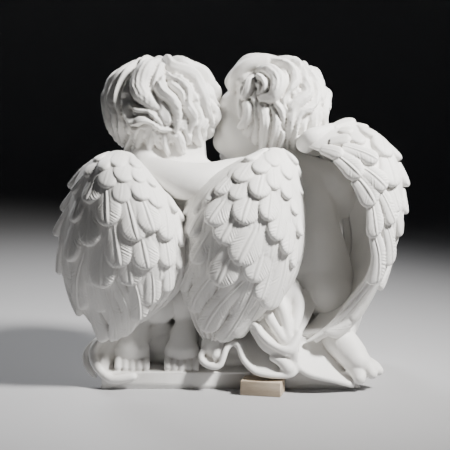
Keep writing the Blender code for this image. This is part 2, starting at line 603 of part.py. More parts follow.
def add_cloth(clay):
    add_sheet(clay, HEM, HEM_BACK, -2, 5)
    add_sheet(clay, RIDGE, RIDGE_BACK, -12, 5)
    # The knot where hem and ridge meet, and the lobe that hangs from it
    add_roll(clay, (47, -102, 44, 3.5), (56, -100, 42, 5), (62, -95, 48, 4.5), (66, -89, 57, 3))
    add_roll(clay, (60, -97, 43, 5.5), (61, -97, 34, 4.5))
    add_roll(clay, (40, -98, 34, 3), (49, -101, 31, 5), (55, -103, 25, 6.5))
    # Cloth and folds in the hollows behind the hem
    add_ball(clay, (-14, -70, 40), (14, 16, 15))
    add_ball(clay, (48, -52, 84), (24, 18, 28))
    add_roll(clay, (24, -84, 58, 5), (36, -93, 43, 5), (58, -97, 36, 3.5))
    add_roll(clay, (2, -70, 56, 5), (-8, -78, 46, 5), (-14, -88, 34, 4))
    # Folds that fall from the right child's hip
    add_roll(clay, (34, -72, 82, 6), (41, -82, 68, 6), (52, -92, 52, 4.5))
    add_roll(clay, (45, -64, 92, 7), (57, -76, 74, 7), (57, -88, 56, 4.5))
    add_roll(clay, (53, -50, 104, 8), (67, -62, 82, 8), (62, -80, 60, 5))
    add_roll(clay, (49, -58, 98, 7), (60, -69, 78, 8), (60, -84, 58, 6))
    add_ball(clay, (56, -88, 46), (10, 8, 9))
    # The folds round the left child's foot
    add_sheet(clay, LEFT_FOLD, LEFT_FOLD_BACK, -2, 7)
    add_roll(
        clay, (-130, -52, 42, 3), (-137, -54, 35, 3.5), (-141, -56, 28, 3.5), (-141, -60, 22, 3.5),
        (-137, -66, 15, 3.5), (-132, -70, 10, 3),
    )
    add_roll(clay, (-120, -38, 44, 8), (-126, -44, 30, 10), (-122, -50, 18, 9))
    add_ball(clay, (-110, -40, 28), (20, 18, 24))
    # Cloth under the bodies, and over the laps down to the front of the plinth
    add_ball(clay, (0, 0, 22), (116, 66, 18), fineness=4)
    add_ball(clay, (-66, -22, 30), (40, 30, 26))
    add_ball(clay, (10, -26, 36), (50, 36, 28))
    add_roll(clay, (6, -6, 40, 40), (8, -20, 84, 22))
    add_ball(clay, (72, -26, 36), (40, 40, 28))
    hem, lap = [], []
    for k in range(FRONT_FOLDS + 1):
        share = 2 * k / FRONT_FOLDS - 1
        hem.append((116 * share, 74 + 3.5 * (-1) ** k, 19 + 2 * math.sin(2.3 * k)))
        lap.append((104 * share, 22 + 2 * (-1) ** k, 62))
    add_sheet(clay, hem, lap, 36, 6, steps=2 * SHEET_STEPS)


# The cast


def plinth_body(parts):
    bpy.ops.mesh.primitive_cube_add(size=1, location=(0, 0, PLINTH_THICKNESS / 2))
    plinth = bpy.context.object
    plinth.name = "plinth_body"
    plinth.scale = (PLINTH_LENGTH, PLINTH_DEPTH, PLINTH_THICKNESS)
    bpy.ops.object.transform_apply(location=True, scale=True)
    edge = plinth.modifiers.new("worn edges", "BEVEL")
    edge.width = PLINTH_EDGE
    edge.segments = 1
    put_in(plinth, parts)
    return plinth


def put_in(made, group):
    for old in list(made.users_collection):
        old.objects.unlink(made)
    group.objects.link(made)


def boolean(made, other, operation):
    cut = made.modifiers.new(operation.lower(), "BOOLEAN")
    cut.operation = operation
    cut.solver = "EXACT"
    cut.object = other


def block(name, group, grow=0.0):
    """The wooden block under the rear overhang, or the seat it needs when it is grown by the clearance."""
    turned_depth = BLOCK_DEPTH * math.cos(BLOCK_TURN) + BLOCK_LENGTH * abs(math.sin(BLOCK_TURN))
    y = -(PLINTH_DEPTH / 2 + CLEARANCE + turned_depth / 2)
    bpy.ops.mesh.primitive_cube_add(size=1, location=(BLOCK_OFFSET, y, BLOCK_HEIGHT / 2))
    made = bpy.context.object
    made.name = name
    made.rotation_euler.z = BLOCK_TURN
    made.scale = (BLOCK_LENGTH + 2 * grow, BLOCK_DEPTH + 2 * grow, BLOCK_HEIGHT + 2 * grow)
    bpy.ops.object.transform_apply(location=False, rotation=False, scale=True)
    put_in(made, group)
    return made


def angel_pair(parts, cutters):
    flesh = Clay()
    add_flesh(flesh)
    add_soles(flesh)
    for head in (LEFT_HEAD, RIGHT_HEAD):
        add_head(flesh, **head)
    body = fuse(flesh, "flesh", FLESH_VOXEL, FLESH_SMOOTHING)

    cloth = Clay()
    add_cloth(cloth)
    drapery = fuse(cloth, "drapery", CLOTH_VOXEL, CLOTH_SMOOTHING)

    clay = Clay()
    clay.add(*mesh_arrays(body))
    clay.add(*mesh_arrays(drapery))
    add_toes(clay)
    for head, locks in ((LEFT_HEAD, LEFT_LOCKS), (RIGHT_HEAD, RIGHT_LOCKS)):
        add_features(clay, **head)
        add_hair(clay, **head, locks=locks)
    add_wing(clay, LEFT_WING, CLOSED_PLUMES, **CLOSED_SHELL)
    add_wing(clay, MIDDLE_WING, CLOSED_PLUMES, **CLOSED_SHELL)
    add_wing(clay, RIGHT_WING, CUPPED_PLUMES, **CUPPED_SHELL)
    # The round root of the right wing, the fringe over the right child's brow, and the kneeling child's seat
    add_roll(clay, (73, -44, 234, 9.5), (79, -50, 241, 8.5), (92, -44, 246, 6), (112, -30, 250, 4))
    for forward in (-7, 0, 7):
        add_roll(
            clay, (36, forward - 4, 313, 6), (18, forward - 2, 309, 7), (6, forward + 2, 299, 7.5),
            (1, forward + 6, 288, 6), (2, forward + 8, 279, 3.5),
        )
    add_ball(clay, (-70, -48, 76), (19, 17, 19))
    skin = fuse(clay, "skin", SKIN_VOXEL, SKIN_SMOOTHING)

    cast = bpy.data.objects.new("angel_pair", thinned(skin, CAST_TRIANGLES))
    parts.objects.link(cast)
    boolean(cast, floor_cutter(cutters), "DIFFERENCE")
    boolean(cast, plinth_body(cutters), "UNION")
    boolean(cast, block("block_seat", cutters, CLEARANCE), "DIFFERENCE")
    for guide in cutters.objects:
        guide.hide_render = True
        guide.display_type = "WIRE"
    return cast


def floor_cutter(cutters):
    """All that lies lower than halfway up the plinth, which the plinth's own body then fills."""
    bpy.ops.mesh.primitive_cube_add(size=1, location=(0, 0, PLINTH_THICKNESS / 2 - 0.05))
    floor = bpy.context.object
    floor.name = "floor_cut"
    floor.scale = (1, 1, 0.1)
    bpy.ops.object.transform_apply(location=True, scale=True)
    put_in(floor, cutters)
    return floor


def build():
    for old in list(bpy.data.objects):
        bpy.data.objects.remove(old)
    parts = collection("angel_figurine")
    cutters = collection("cutters")
    cast = angel_pair(parts, cutters)
    cast.data.materials.append(material("white plaster", WHITE, 0.6))
    prop = block("wooden_prop_block", parts)
    edge = prop.modifiers.new("worn edges", "BEVEL")
    edge.width = BLOCK_EDGE
    edge.segments = 1
    prop.data.materials.append(material("raw wood", WOOD, 0.75))


build()
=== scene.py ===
"""The looks of the winged cherub pair: a finely carved plaster cast, and the raw wooden block under its hem.

The cast is built up as a sculptor builds it. Balls and rolls of clay make the flesh and the cloth, which are
fused and smoothed. Locks of hair, features, toes and fingers are laid on, and all of it is fused again. Each
wing is a skin of its own, run into the shoulders. Places are counted in the squares of a grid that is
GRID_HEIGHT squares high. The figures face +Y, and their backs and wings face the camera at -Y.
"""

import functools
import math

import bmesh
import bpy
import numpy as np
from mathutils import Euler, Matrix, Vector


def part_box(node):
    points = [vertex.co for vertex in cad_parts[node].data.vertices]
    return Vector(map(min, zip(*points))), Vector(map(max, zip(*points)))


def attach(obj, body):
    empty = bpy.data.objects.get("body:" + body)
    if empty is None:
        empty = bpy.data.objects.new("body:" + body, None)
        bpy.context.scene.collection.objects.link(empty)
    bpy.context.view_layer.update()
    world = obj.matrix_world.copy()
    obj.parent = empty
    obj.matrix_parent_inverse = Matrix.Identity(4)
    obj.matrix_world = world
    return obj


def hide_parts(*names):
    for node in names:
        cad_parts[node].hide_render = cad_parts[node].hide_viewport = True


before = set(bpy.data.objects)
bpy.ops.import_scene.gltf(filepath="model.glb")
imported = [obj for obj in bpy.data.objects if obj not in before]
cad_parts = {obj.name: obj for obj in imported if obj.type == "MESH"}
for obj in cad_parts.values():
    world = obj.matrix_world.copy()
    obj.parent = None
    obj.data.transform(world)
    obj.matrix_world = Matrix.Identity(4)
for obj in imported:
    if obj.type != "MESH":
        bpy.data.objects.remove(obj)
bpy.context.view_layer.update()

# The frame's sizes, in metres
BLOCK_LOW, BLOCK_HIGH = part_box("wooden_prop_block")
FIGURE_HEIGHT = 0.2826
PLINTH_LENGTH = 0.219
PLINTH_DEPTH = 0.146
PLINTH_THICKNESS = 0.0145
BLOCK_LENGTH = 0.0345
BLOCK_DEPTH = 0.022
BLOCK_TURN = math.radians(-12)
BLOCK_WEAR = 0.0007
CLEARANCE = 0.0003

# The figures are drawn on a squared grid this many squares high
GRID_HEIGHT = 320
UNIT = FIGURE_HEIGHT / GRID_HEIGHT

# Fineness of the skins: voxels in squares, passes of smoothing, and triangles
FLESH_VOXEL = 1.8
FLESH_SMOOTHING = 18
CLOTH_VOXEL = 1.1
CLOTH_SMOOTHING = 8
SKIN_VOXEL = 0.9
SKIN_SMOOTHING = 1
CAST_TRIANGLES = 196000
WING_VOXEL = 0.6
WING_TRIANGLES = 180000

# Steps: between a roll's balls, as a share of its thinnest radius, and points along and across the rest
ROLL_STEP = 0.2
GUIDE_STEPS = 81
FACE_STEP = 0.01
SHELL_STEPS = (61, 41)
SHEET_STEPS = 15
FEATHER_STEP = 0.6

# Feathers: a share of their drawn width, and lengths in squares
FEATHER_SPREAD = 1.15
ROOT_LIFT = 2.2
BARB_SPACING = 3.1
BARB_DEPTH = 0.95
BARB_SLOPE = 0.95

# Hair: counts, lengths in squares, and shares
HAIR_FINENESS = 6
HAIR_WAVES = 14
LOCK_STEP = 1.2
LOCK_SINK = 1.5
SHOWS_THROUGH = 0.12
GROOVE_SHARE = 0.55
DEEPEST_GROOVE = 5.5
STRAND_WIDTH = 4.2
STRAND_HEIGHT = 1.1
LUMP_LENGTH = 34
LUMP_SHARE = 0.13
BARE_DEPTH = 9


def unit(vectors):
    """Vectors made one long."""
    return vectors / np.maximum(np.linalg.norm(vectors, axis=-1, keepdims=True), 1e-9)


def smooth_line(points, count):
    """Count points, evenly spaced along a smooth curve through a few. They may carry a radius as well."""
    points = np.asarray(points, float)
    spans = len(points) - 1
    ends = np.vstack([2 * points[0] - points[1], points, 2 * points[-1] - points[-2]])
    at = np.linspace(0, spans, 24 * spans + 1)
    span = np.minimum(at.astype(int), spans - 1)
    t = (at - span)[:, None]
    a, b, c, d = (ends[span + k] for k in range(4))
    fine = 0.5 * (2 * b + (c - a) * t + (2 * a - 5 * b + 4 * c - d) * t**2 + (3 * b - a - 3 * c + d) * t**3)
    steps = np.linalg.norm(np.diff(fine[:, :3], axis=0), axis=1)
    reach = np.concatenate([[0], np.cumsum(steps)])
    even = np.linspace(0, reach[-1], count)
    return np.stack([np.interp(even, reach, column) for column in fine.T], axis=1)


def along_line(line, share):
    """The place at a share of a line's length. Shares past its ends run straight on."""
    at = np.asarray(share) * (len(line) - 1)
    low = np.clip(at.astype(int), 0, len(line) - 2)
    return line[low] + (at - low)[..., None] * (line[low + 1] - line[low])


def ramp(value, low, high):
    """Nought below low and one above high, with a smooth rise between them."""
    share = np.clip((value - low) / (high - low), 0, 1)
    return share * share * (3 - 2 * share)


# Clay


class Clay:
    """Lumps of clay, each a closed mesh, that are kept apart until they are fused."""

    def __init__(self):
        self.points, self.faces, self.count = [], [], 0

    def add(self, points, faces):
        self.points.append(points)
        self.faces.extend((np.asarray(faces) + self.count).tolist())
        self.count += len(points)


@functools.cache
def unit_ball(fineness):
    """The points and faces of a ball of radius one."""
    ball = bmesh.new()
    bmesh.ops.create_icosphere(ball, subdivisions=fineness, radius=1)
    points = np.array([point.co for point in ball.verts])
    faces = np.array([[point.index for point in face.verts] for face in ball.faces])
    ball.free()
    return points, faces


def add_ball(clay, centre, radii, turn=(0, 0, 0), fineness=3):
    """A ball or an egg of clay. Turns are in degrees."""
    points, faces = unit_ball(fineness)
    turned = np.array(Euler([math.radians(angle) for angle in turn]).to_matrix())
    clay.add((points * radii) @ turned.T + centre, faces)


def add_roll(clay, *stations, fineness=3):
    """A roll of clay through stations of x, y, z and radius."""
    stations = np.asarray(stations, float)
    length = np.linalg.norm(np.diff(stations[:, :3], axis=0), axis=1).sum()
    count = max(3, int(length / (ROLL_STEP * stations[:, 3].min())))
    for x, y, z, radius in smooth_line(stations, count):
        add_ball(clay, (x, y, z), radius, fineness=fineness)


def add_slab(clay, top, under):
    """The solid between two grids of points of the same shape."""
    rings = np.concatenate([top, under[:, ::-1]], axis=1)
    count, around = rings.shape[:2]
    index = np.arange(count * around).reshape(count, around)
    after = np.roll(index, -1, axis=1)
    sides = np.stack([index[:-1], after[:-1], after[1:], index[1:]], axis=-1).reshape(-1, 4)
    ends = index[[0, -1]]
    near, far = ends[:, :around // 2], ends[:, ::-1][:, :around // 2]
    caps = np.stack([near[:, :-1], near[:, 1:], far[:, 1:], far[:, :-1]], axis=-1).reshape(-1, 4)
    clay.add(rings.reshape(-1, 3), np.concatenate([sides, caps]))


def fuse(clay, name, voxel, smoothing):
    """One closed skin round all the clay."""
    mesh = bpy.data.meshes.new(name)
    mesh.from_pydata(np.concatenate(clay.points) * UNIT, [], clay.faces)
    made = bpy.data.objects.new(name, mesh)
    bpy.context.scene.collection.objects.link(made)
    remesh = made.modifiers.new("skin", "REMESH")
    remesh.mode = "VOXEL"
    remesh.voxel_size = voxel * UNIT
    soften = made.modifiers.new("soften", "SMOOTH")
    soften.factor = 0.5
    soften.iterations = smoothing
    return evaluated_mesh(made)


def evaluated_mesh(made):
    """The mesh that an object's modifiers make of it. The object is removed."""
    mesh = bpy.data.meshes.new_from_object(made.evaluated_get(bpy.context.evaluated_depsgraph_get()))
    bpy.data.objects.remove(made)
    return mesh


def mesh_arrays(mesh):
    """A mesh's points, in squares of the grid, and its faces."""
    points = np.empty(len(mesh.vertices) * 3)
    mesh.vertices.foreach_get("co", points)
    faces = np.empty(len(mesh.loops), int)
    mesh.loops.foreach_get("vertex_index", faces)
    return points.reshape(-1, 3) / UNIT, faces.reshape(-1, 4)


def thinned(mesh, triangles):
    """A mesh with its flattest triangles merged until it has so many."""
    mesh.calc_loop_triangles()
    made = bpy.data.objects.new("thinned", mesh)
    bpy.context.scene.collection.objects.link(made)
    fewer = made.modifiers.new("fewer triangles", "DECIMATE")
    fewer.ratio = triangles / len(mesh.loop_triangles)
    fewer.use_collapse_triangulate = True
    return evaluated_mesh(made)


# The drawing sheet stands upright through the pair's middle, and an eye behind it looks from a little above.
# Places that are given in pairs are squares to the right of and below the sheet's top left corner

SHEET_MIDDLE = 225
EYE_AIM = (-5, 0, 147)
EYE_DISTANCE = 1755
EYE_RISE = math.radians(9)


def on_sheet(points):
    """Where points in space are seen on the drawing sheet."""
    x, y, z = np.moveaxis(points - np.array(EYE_AIM), -1, 0)
    away = EYE_DISTANCE + y * math.cos(EYE_RISE) - z * math.sin(EYE_RISE)
    rise = y * math.sin(EYE_RISE) + z * math.cos(EYE_RISE)
    return SHEET_MIDDLE + np.stack([x, -rise], axis=-1) * (EYE_DISTANCE / away)[..., None]


# Wings: each is an arched shell between its first edge, its crest and its last edge, from root to tip

LEFT_WING = dict(
    first=(
        (-116, -46, 224), (-141, -42, 208), (-158, -38, 173), (-165, -38, 140),
        (-163, -38, 110), (-152, -42, 84), (-136, -50, 64), (-118, -62, 48),
    ),
    crest=(
        (-105, -58, 229), (-106, -90, 214), (-103, -104, 188), (-102, -110, 150),
        (-101, -106, 112), (-102, -94, 78), (-108, -78, 52),
    ),
    last=(
        (-94, -50, 222), (-70, -54, 193), (-50, -60, 167), (-42, -62, 133),
        (-44, -64, 108), (-58, -68, 88), (-84, -72, 68),
    ),
)
MIDDLE_WING = dict(
    first=(
        (26, -44, 222), (-6, -48, 207), (-34, -52, 188), (-45, -56, 160),
        (-48, -60, 122), (-44, -62, 90), (-34, -66, 62), (-22, -72, 46),
    ),
    crest=(
        (38, -56, 231), (30, -86, 214), (23, -102, 187), (16, -110, 150),
        (6, -106, 107), (-5, -92, 70), (-14, -80, 46),
    ),
    last=(
        (50, -44, 227), (64, -46, 212), (70, -48, 180), (70, -50, 140),
        (61, -54, 104), (40, -62, 76), (14, -72, 56), (-6, -78, 44),
    ),
)
RIGHT_WING = dict(
    first=(
        (66, -40, 232), (80, -62, 232), (97, -80, 226), (113, -88, 213), (124, -92, 199),
        (131, -94, 182), (134, -96, 156), (135, -94, 130), (128, -90, 106), (114, -84, 86),
        (102, -80, 71), (88, -78, 57), (73, -76, 46),
    ),
    crest=(
        (62, -30, 240), (90, -24, 249), (116, -22, 251), (139, -30, 242), (152, -34, 231),
        (161, -38, 216), (166, -40, 195), (165, -44, 164), (157, -50, 136), (146, -54, 110),
        (131, -60, 85), (112, -66, 64), (86, -72, 48),
    ),
    last=(
        (58, -16, 230), (84, 0, 228), (106, 8, 200), (118, 6, 160), (122, 0, 120),
        (111, -16, 86), (98, -34, 70), (84, -46, 58), (68, -62, 44),
    ),
)

# Feathers one by one: where the root and the tip are seen on the drawing sheet, and the width
LEFT_FEATHERS = (
    (107, 153, 100, 163, 12), (121, 153, 117, 169, 14), (108, 157, 106, 172, 13), (131, 155, 134, 170, 12),
    (100, 161, 88, 178, 17), (110, 169, 107, 188, 19), (126, 166, 121, 183, 18), (135, 167, 138, 184, 13),
    (147, 178, 151, 189, 10), (90, 164, 68, 188, 11), (88, 173, 76, 194, 12), (97, 178, 91, 204, 23),
    (78, 187, 60, 209, 13), (83, 195, 78, 222, 20), (72, 204, 55, 235, 13), (122, 183, 120, 203, 17),
    (107, 186, 112, 226, 24), (138, 182, 141, 201, 16), (150, 187, 156, 209, 16), (163, 191, 170, 213, 12),
    (174, 202, 179, 222, 10), (128, 199, 138, 240, 23), (142, 198, 152, 232, 21), (163, 206, 164, 240, 18),
    (93, 203, 93, 245, 25), (78, 219, 75, 260, 24), (66, 232, 61, 273, 14), (115, 222, 123, 266, 24),
    (141, 235, 148, 267, 23), (164, 237, 166, 266, 17), (178, 222, 178, 246, 11), (104, 243, 106, 286, 25),
    (129, 255, 133, 284, 23), (88, 245, 86, 306, 23), (64, 271, 79, 317, 15), (151, 266, 150, 301, 16),
    (167, 264, 165, 289, 13), (135, 280, 137, 315, 15), (112, 272, 125, 331, 14), (103, 282, 117, 336, 15),
    (89, 300, 108, 341, 20), (178, 244, 176, 268, 10),
)
MIDDLE_FEATHERS = (
    (264, 150, 248, 164, 11), (270, 152, 274, 168, 14), (265, 159, 258, 175, 16), (250, 165, 240, 184, 19),
    (283, 162, 287, 181, 14), (263, 175, 256, 198, 20), (273, 169, 273, 191, 15), (233, 176, 220, 197, 15),
    (285, 179, 284, 199, 14), (243, 182, 236, 201, 17), (217, 186, 209, 203, 9), (228, 196, 212, 226, 23),
    (252, 195, 242, 224, 25), (272, 191, 265, 221, 19), (292, 197, 292, 215, 11), (295, 177, 299, 195, 9),
    (282, 204, 272, 239, 19), (297, 212, 296, 235, 10), (235, 217, 222, 243, 27),
    (289, 219, 282, 253, 16), (257, 225, 238, 263, 28), (296, 237, 288, 266, 12), (204, 210, 195, 236, 14),
    (193, 202, 188, 216, 9), (203, 198, 197, 215, 10), (193, 219, 185, 243, 11), (213, 228, 197, 262, 17),
    (191, 242, 183, 264, 11), (236, 245, 219, 284, 26), (264, 247, 251, 280, 25), (272, 262, 257, 297, 17),
    (285, 252, 264, 306, 27), (203, 250, 187, 290, 15), (220, 268, 197, 310, 20), (246, 278, 209, 329, 21),
    (253, 288, 222, 338, 16), (262, 298, 234, 333, 14), (284, 150, 292, 165, 12), (293, 160, 297, 177, 10),
)
RIGHT_FEATHERS = (
    (333, 127, 354, 122, 14), (351, 124, 368, 127, 14), (362, 125, 370, 139, 17), (376, 131, 381, 157, 22),
    (389, 140, 402, 159, 15), (386, 157, 389, 187, 24), (400, 161, 408, 187, 15), (330, 142, 351, 141, 12),
    (343, 147, 375, 164, 14), (322, 149, 342, 156, 12), (337, 156, 360, 177, 18), (358, 165, 383, 190, 16),
    (356, 176, 374, 204, 21), (378, 188, 390, 223, 13), (391, 186, 394, 212, 16), (404, 188, 404, 214, 13),
    (372, 202, 375, 236, 17), (385, 221, 384, 262, 13), (397, 213, 398, 234, 14), (374, 234, 371, 280, 15),
    (395, 232, 378, 290, 16), (386, 255, 352, 322, 16), (374, 278, 330, 332, 22), (352, 132, 360, 146, 15),
    (340, 130, 352, 134, 13),
)

# Rows of feathers behind those: place of the tips, length, count, height of the tips, and depth of the barbs
UNDER_ROWS = (
    (1.0, 0.55, 9, 3.2, 0.7), (0.84, 0.45, 9, 3.2, 0.8), (0.68, 0.38, 8, 3.2, 0.8), (0.52, 0.3, 8, 3.0, 0.5),
    (0.38, 0.22, 7, 3.0, 0.2), (0.26, 0.16, 6, 3.0, 0.0), (0.15, 0.11, 5, 2.6, 0.0),
)
RIGHT_ROWS = (
    (1.0, 0.5, 7, 5.0, 0.5), (0.84, 0.36, 7, 6.0, 0.6), (0.7, 0.3, 7, 6.5, 0.4), (0.57, 0.26, 7, 6.5, 0.2),
    (0.45, 0.21, 7, 6.5, 0.1), (0.34, 0.17, 7, 6.0, 0.0), (0.24, 0.14, 6, 5.5, 0.0),
    (0.15, 0.11, 5, 5.0, 0.0),
)

# The shells: share of the breadth with drawn feathers, thickness, hollow, and tilt of the feathers
CLOSED_SHELL = dict(shown=1.0, thickness=5, hollow=0.15, tilt=-0.05)
CUPPED_SHELL = dict(shown=0.6, thickness=6, hollow=1.0, tilt=0.04)


def wing_face(first, crest, last):
    """The outer face of a wing: half an ellipse from edge to edge over a crest, from root to tip."""
    edge, ridge, far = (smooth_line(line, GUIDE_STEPS) for line in (first, crest, last))

    def face(s, t):
        s, t = np.broadcast_arrays(np.asarray(s, float), np.asarray(t, float))
        left, top, right = (along_line(line, s) for line in (edge, ridge, far))
        middle = (left + right) / 2
        angle = math.pi * t[..., None]
        return middle - np.cos(angle) * (right - left) / 2 + np.sin(angle) * (top - middle)

    return face


def lay_on(face, s, t, height):
    """Points at a height over a face, at shares s of its length and t of its breadth."""
    down = face(s + FACE_STEP, t) - face(s - FACE_STEP, t)
    across = face(s, t + FACE_STEP) - face(s, t - FACE_STEP)
    return face(s, t) + unit(np.cross(down, across)) * np.asarray(height)[..., None]


def found_on(face, places, breadth):
    """The shares of a wing's length and breadth at which places on the drawing sheet lie on it."""
    s, t = (grid.ravel() for grid in np.meshgrid(np.linspace(0, 1, 201), np.linspace(0, breadth, 121)))
    seen = on_sheet(face(s, t))
    nearest = [((seen - place) ** 2).sum(1).argmin() for place in places]
    return np.stack([s[nearest], t[nearest]], axis=1)


def add_feather(clay, face, root, tip, half_width, lift, tilt, barbs, sink=3.0):
    """A feather that lies on a face at its root and stands clear of it at its round tip."""
    length = np.linalg.norm(face(*tip) - face(*root))
    round_from = 1 - min(0.55, 1.15 * half_width / length)
    u = np.linspace(0, 1, max(8, int(length / FEATHER_STEP)))[:, None]
    u = 0.997 * (1 - (1 - u) ** 1.3)
    v = np.linspace(-1, 1, max(7, int(2.2 * half_width / FEATHER_STEP)))[None, :]
    v = np.sign(v) * np.abs(v) ** 0.8
    rounding = np.clip((u - round_from) / (1 - round_from), 0, 1)
    half = half_width * (0.7 + 0.3 * np.minimum(u / round_from, 1)) * np.sqrt(1 - rounding**2.2)
    s, t = (root[k] + (tip[k] - root[k]) * u for k in range(2))
    step = FACE_STEP
    down = np.linalg.norm(face(s + step, t) - face(s - step, t), axis=-1) / (2 * step)
    across = np.linalg.norm(face(s, t + step) - face(s, t - step), axis=-1) / (2 * step)
    run = np.stack([(tip[0] - root[0]) * down, (tip[1] - root[1]) * across])
    run = run / np.linalg.norm(run, axis=0)
    s = s - v * half * run[1] / down
    t = t + v * half * run[0] / across
    dome = (1 - 0.22 * v**2 - 0.5 * v**10) * (1 - 0.35 * rounding**6)
    shaft = 0.7 * np.exp(-((v / 0.08) ** 2)) - 0.7 * np.exp(-(((np.abs(v) - 0.17) / 0.07) ** 2))
    slope = u * length - BARB_SLOPE * np.abs(v) * half
    wander = 0.9 * np.sin(0.55 * slope + 7 * tip[1]) + 0.6 * np.sin(0.21 * slope + 4 * v)
    groove = (0.5 + 0.5 * np.cos(2 * math.pi * slope / BARB_SPACING + wander)) ** 2
    groove = groove * ramp(np.abs(v), 0.15, 0.35) * ramp(u, 0.25, 0.5)
    groove = groove * (0.3 + 0.7 * np.sin(0.12 * slope + 9 * tip[1] + 1.5 * v) ** 2)
    stand = (ROOT_LIFT + (lift - ROOT_LIFT) * u**1.2) * dome + tilt * v * half * u
    height = stand + shaft * (1 - rounding**3) * min(1, barbs + 0.1) - BARB_DEPTH * barbs * groove
    add_slab(clay, lay_on(face, s, t, height), lay_on(face, s, t, np.full(height.shape, -sink)))


def add_rows(clay, face, rows, shown, tilt):
    """Rows of feathers laid like tiles. Where only a share of a wing shows, it has the lowest row alone."""
    for row, (tips, length, count, lift, barbs) in enumerate(rows):
        for k in range(-1, count + 1):
            t_tip = (k + 0.5 + 0.5 * (row % 2)) / count
            if not 0.0 <= t_tip <= 1.0:
                continue
            waver, sway = math.sin(2.3 * k + 1.7 * row), math.sin(4.1 * k + 2.9 * row + 1)
            s_tip = tips + 0.016 * waver + 0.012 * sway
            t_tip = min(max(t_tip + 0.12 * sway / count, 0.0), 1.0)
            t_root = 0.5 + (t_tip - 0.5) * (0.96 + 0.03 * waver)
            near, far = face(s_tip, t_tip - 0.5 / count), face(s_tip, t_tip + 0.5 / count)
            half_width = (0.61 + 0.05 * waver) * np.linalg.norm(far - near)
            if row > 0 and t_tip < shown < 1:
                continue
            stand = lift * (1 + 0.12 * sway) * (0.5 if t_tip < shown < 1 else 1)
            add_feather(clay, face, (s_tip - length, t_root), (s_tip, t_tip), half_width, stand, tilt, barbs)


def add_wing(clay, guides, feathers, rows, shown, thickness, hollow, tilt):
    """A wing's shell with its plumage. Hollow is the share of the arch that its inner side takes in."""
    face = wing_face(**guides)
    s = np.linspace(0, 1, SHELL_STEPS[0])[:, None]
    t = np.linspace(0, 1, SHELL_STEPS[1])[None, :]
    outer = lay_on(face, s, t, np.zeros(SHELL_STEPS))
    base = (face(s, 0 * t) + face(s, 0 * t + 1)) / 2
    chord = base - np.cos(math.pi * t)[..., None] * (face(s, 0 * t + 1) - face(s, 0 * t)) / 2
    inner = chord + (outer - chord) * hollow
    inner = inner + unit(inner - lay_on(face, s, t, np.ones(SHELL_STEPS))) * thickness
    add_slab(clay, outer, inner)
    add_rows(clay, face, rows, shown, tilt)
    feathers = np.array(feathers, float)
    roots, tips = (found_on(face, feathers[:, k:k + 2], shown) for k in (0, 2))
    for k, (root, tip) in enumerate(zip(roots, tips)):
        length = np.linalg.norm(feathers[k, 2:4] - feathers[k, :2])
        grown = ramp(length, 15, 32)
        sway = math.sin(4.1 * k)
        lift = (6.0 + 3.2 * grown) * (1 + 0.14 * sway)
        half_width = FEATHER_SPREAD * feathers[k, 4] / 2
        add_feather(clay, face, root, tip, half_width, lift, tilt + 0.05 * sway, grown)


# Heads: places on them are counted from the head's centre to the right and up, as seen from behind

LEFT_HEAD = dict(centre=(-68.5, -4, 266), radii=(56, 50, 49), face=(0, 0, 0), facing=18)
RIGHT_HEAD = dict(centre=(48, 4, 266), radii=(48, 46, 49), face=(-16, 4, -12), facing=62)

# Locks of hair, lowest first: width, height, and the places that each passes through
LEFT_LOCKS = (
    (15, 8, (8, 50), (22, 42), (36, 36), (48, 24), (56, 8), (60, -8)),
    (13, 7, (46, 8), (54, -6), (50, -20), (44, -34)),
    (14, 8, (2, 50), (10, 40), (24, 33), (36, 25), (42, 10), (46, -4), (50, -20)),
    (12, 7, (36, 0), (40, -14), (35, -26), (38, -42)),
    (12, 7, (27, -12), (28, -28), (22, -42), (22, -52)),
    (13, 8, (0, 42), (6, 27), (16, 19), (25, 13), (27, 0), (33, -12), (29, -26)),
    (8, 5, (3, 24), (14, 17), (21, 10), (23, -2)),
    (11, 6, (-30, 47), (-49, 28), (-57, 12), (-58, -8), (-52, -26), (-46, -38)),
    (11, 6, (-22, 50), (-42, 32), (-51, 16), (-52, -6), (-46, -26), (-41, -44)),
    (11, 6, (-16, 52), (-35, 34), (-44, 18), (-46, 0), (-42, -20), (-36, -46)),
    (10, 6, (-10, 52), (-27, 36), (-37, 20), (-40, 2), (-37, -16), (-31, -44)),
    (10, 6, (-5, 52), (-19, 38), (-29, 22), (-33, 4), (-32, -12), (-27, -36)),
    (9, 9, (-27, -28), (-30, -42), (-27, -58)),
    (9, 9, (-17, -26), (-20, -40), (-17, -58)),
    (9, 9, (-8, -26), (-9, -42), (-4, -58)),
    (9, 9, (4, -24), (6, -38), (14, -54)),
    (12, 9, (0, -24), (12, -25), (20, -36), (16, -48), (4, -51)),
    (10, 8, (-31, 6), (-32, -8), (-25, -17), (-15, -15), (-6, -17), (2, -24), (15, -24)),
    (8, 7, (-30, 4), (-21, -5), (-11, -6), (-4, -12), (3, -20)),
    (14, 9, (-1, 49), (-2, 30), (3, 13), (13, 3), (18, -10), (16, -26)),
    (22, 10, (-3, 46), (-11, 34), (-18, 22), (-18, 11), (-12, 4), (-3, -4)),
    (9, 6, (2, 43), (1, 35), (-2, 26), (-7, 14)),
)
